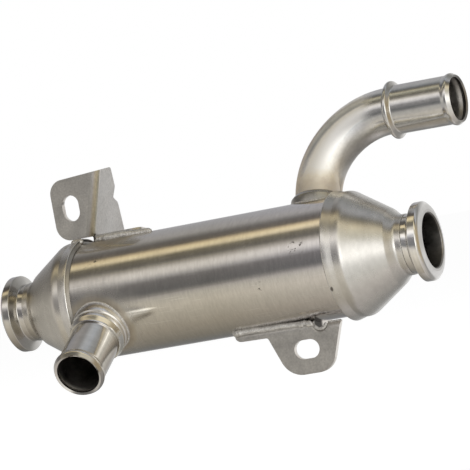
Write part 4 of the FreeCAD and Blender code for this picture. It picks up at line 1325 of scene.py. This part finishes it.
def build_surroundings(scene):
    """White to the camera, plain light for matt surfaces, a banded studio for metal."""
    world = bpy.data.worlds.new("studio")
    scene.world = world
    world.use_nodes = True
    world.cycles.sampling_method = "NONE"
    tree = world.node_tree
    tree.nodes.clear()
    parts = parts_of(tree, add(tree, "ShaderNodeTexCoord").outputs["Generated"])
    turn = maths(tree, "ARCTAN2", parts["Z"], parts["Y"])
    turn = maths(tree, "FRACT", maths(tree, "DIVIDE", turn, 2 * math.pi))
    delay = span(tree, parts["Y"], *FRONT_DELAY_Y_RANGE, 0.0, FRONT_DELAY)
    to_right = span(tree, maths(tree, "SUBTRACT", parts["X"], delay), *RIGHT_SIDE_RANGE)
    banded = blend(
        tree, to_right, ramp(tree, turn, SURROUNDINGS), ramp(tree, turn, SURROUNDINGS_RIGHT)
    )
    banded = blend(tree, span(tree, parts["X"], *RIGHT_END_RANGE), banded, RIGHT_END)
    left_end = blend(
        tree, span(tree, parts["Z"], *LEFT_END_Z_RANGE), LEFT_END_LOW, LEFT_END_HIGH
    )
    banded = blend(tree, span(tree, parts["X"], *LEFT_END_RANGE), banded, left_end)
    metal, matt, white = (
        add(tree, "ShaderNodeBackground", {"Color": colour, "Strength": 1.0}).outputs[0]
        for colour in (banded, MATT_LIGHT, WHITE)
    )
    path = add(tree, "ShaderNodeLightPath").outputs
    lit = add(tree, "ShaderNodeMixShader", {0: path["Is Glossy Ray"], 1: matt, 2: metal})
    shown = maths(tree, "MAXIMUM", path["Is Camera Ray"], path["Is Transmission Ray"])
    mixed = add(tree, "ShaderNodeMixShader", {0: shown, 1: lit.outputs[0], 2: white})
    add(tree, "ShaderNodeOutputWorld", {0: mixed.outputs[0]})


def build_lamp(settings):
    """One large soft lamp above and in front."""
    lamp = bpy.data.lights.new("key_lamp", "AREA")
    lamp.shape = "RECTANGLE"
    lamp.size, lamp.size_y = KEY_LAMP_SIZE
    lamp.energy = settings.key_lamp_power
    holder = bpy.data.objects.new("key_lamp", lamp)
    holder.location = KEY_LAMP_PLACE
    holder.visible_glossy = False
    aim = Vector(KEY_LAMP_AIM) - holder.location
    holder.rotation_mode = "QUATERNION"
    holder.rotation_quaternion = aim.to_track_quat("-Z", "Y")
    bpy.context.scene.collection.objects.link(holder)


def build_camera(scene, settings):
    """The camera at the photograph's angle."""
    data = bpy.data.cameras.new("camera")
    data.sensor_width = SENSOR_WIDTH
    data.lens = settings.camera_lens
    data.clip_start, data.clip_end = CAMERA_REACH
    camera = bpy.data.objects.new("camera", data)
    scene.collection.objects.link(camera)
    azimuth = settings.camera_azimuth
    forward = Vector((-math.sin(azimuth), math.cos(azimuth), 0))
    level_right = Vector((math.cos(azimuth), math.sin(azimuth), 0))
    roll = settings.camera_roll
    right = level_right * math.cos(roll) - Z_AXIS * math.sin(roll)
    up = level_right * math.sin(roll) + Z_AXIS * math.cos(roll)
    turn = Matrix((right, up, -forward)).transposed().to_4x4()
    camera.matrix_world = Matrix.Translation(Vector(settings.camera_place)) @ turn
    scene.camera = camera


class COOLER_PT_panel(bpy.types.Panel):
    """Lists the cooler's pieces and settings"""
    bl_idname = "COOLER_PT_panel"
    bl_label = "EGR cooler"
    bl_space_type = "VIEW_3D"
    bl_region_type = "UI"
    bl_category = "EGR cooler"

    def draw(self, context):
        layout = self.layout
        for operator in OPERATORS:
            layout.operator(operator.bl_idname)
        for group in SETTINGS:
            settings = getattr(context.scene, group)
            box = layout.box()
            for name in settings.__annotations__:
                box.prop(settings, name)


OPERATORS = (
    COOLER_OT_shared_effects, COOLER_OT_shell, COOLER_OT_cones, COOLER_OT_flanges,
    COOLER_OT_pipes, COOLER_OT_brackets, COOLER_OT_inside, COOLER_OT_welds, COOLER_OT_stage,
)
SETTINGS = {
    "cooler_finish": CoolerFinish, "cooler_welds": CoolerWelds, "cooler_stage": CoolerStage,
}


def register():
    for settings in SETTINGS.values():
        bpy.utils.register_class(settings)
    for name, settings in SETTINGS.items():
        setattr(bpy.types.Scene, name, PointerProperty(type=settings))
    for operator in OPERATORS:
        bpy.utils.register_class(operator)
    bpy.utils.register_class(COOLER_PT_panel)


def unregister():
    bpy.utils.unregister_class(COOLER_PT_panel)
    for operator in reversed(OPERATORS):
        bpy.utils.unregister_class(operator)
    for name in SETTINGS:
        delattr(bpy.types.Scene, name)
    for settings in SETTINGS.values():
        bpy.utils.unregister_class(settings)


def main():
    """Registers the add-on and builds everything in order."""
    register()
    bpy.ops.cooler.shared_effects()
    bpy.ops.cooler.shell()
    bpy.ops.cooler.cones()
    bpy.ops.cooler.flanges()
    bpy.ops.cooler.pipes()
    bpy.ops.cooler.brackets()
    bpy.ops.cooler.inside()
    bpy.ops.cooler.welds()
    bpy.ops.cooler.stage()
    bpy.context.view_layer.update()


if __name__ == "__main__":
    main()
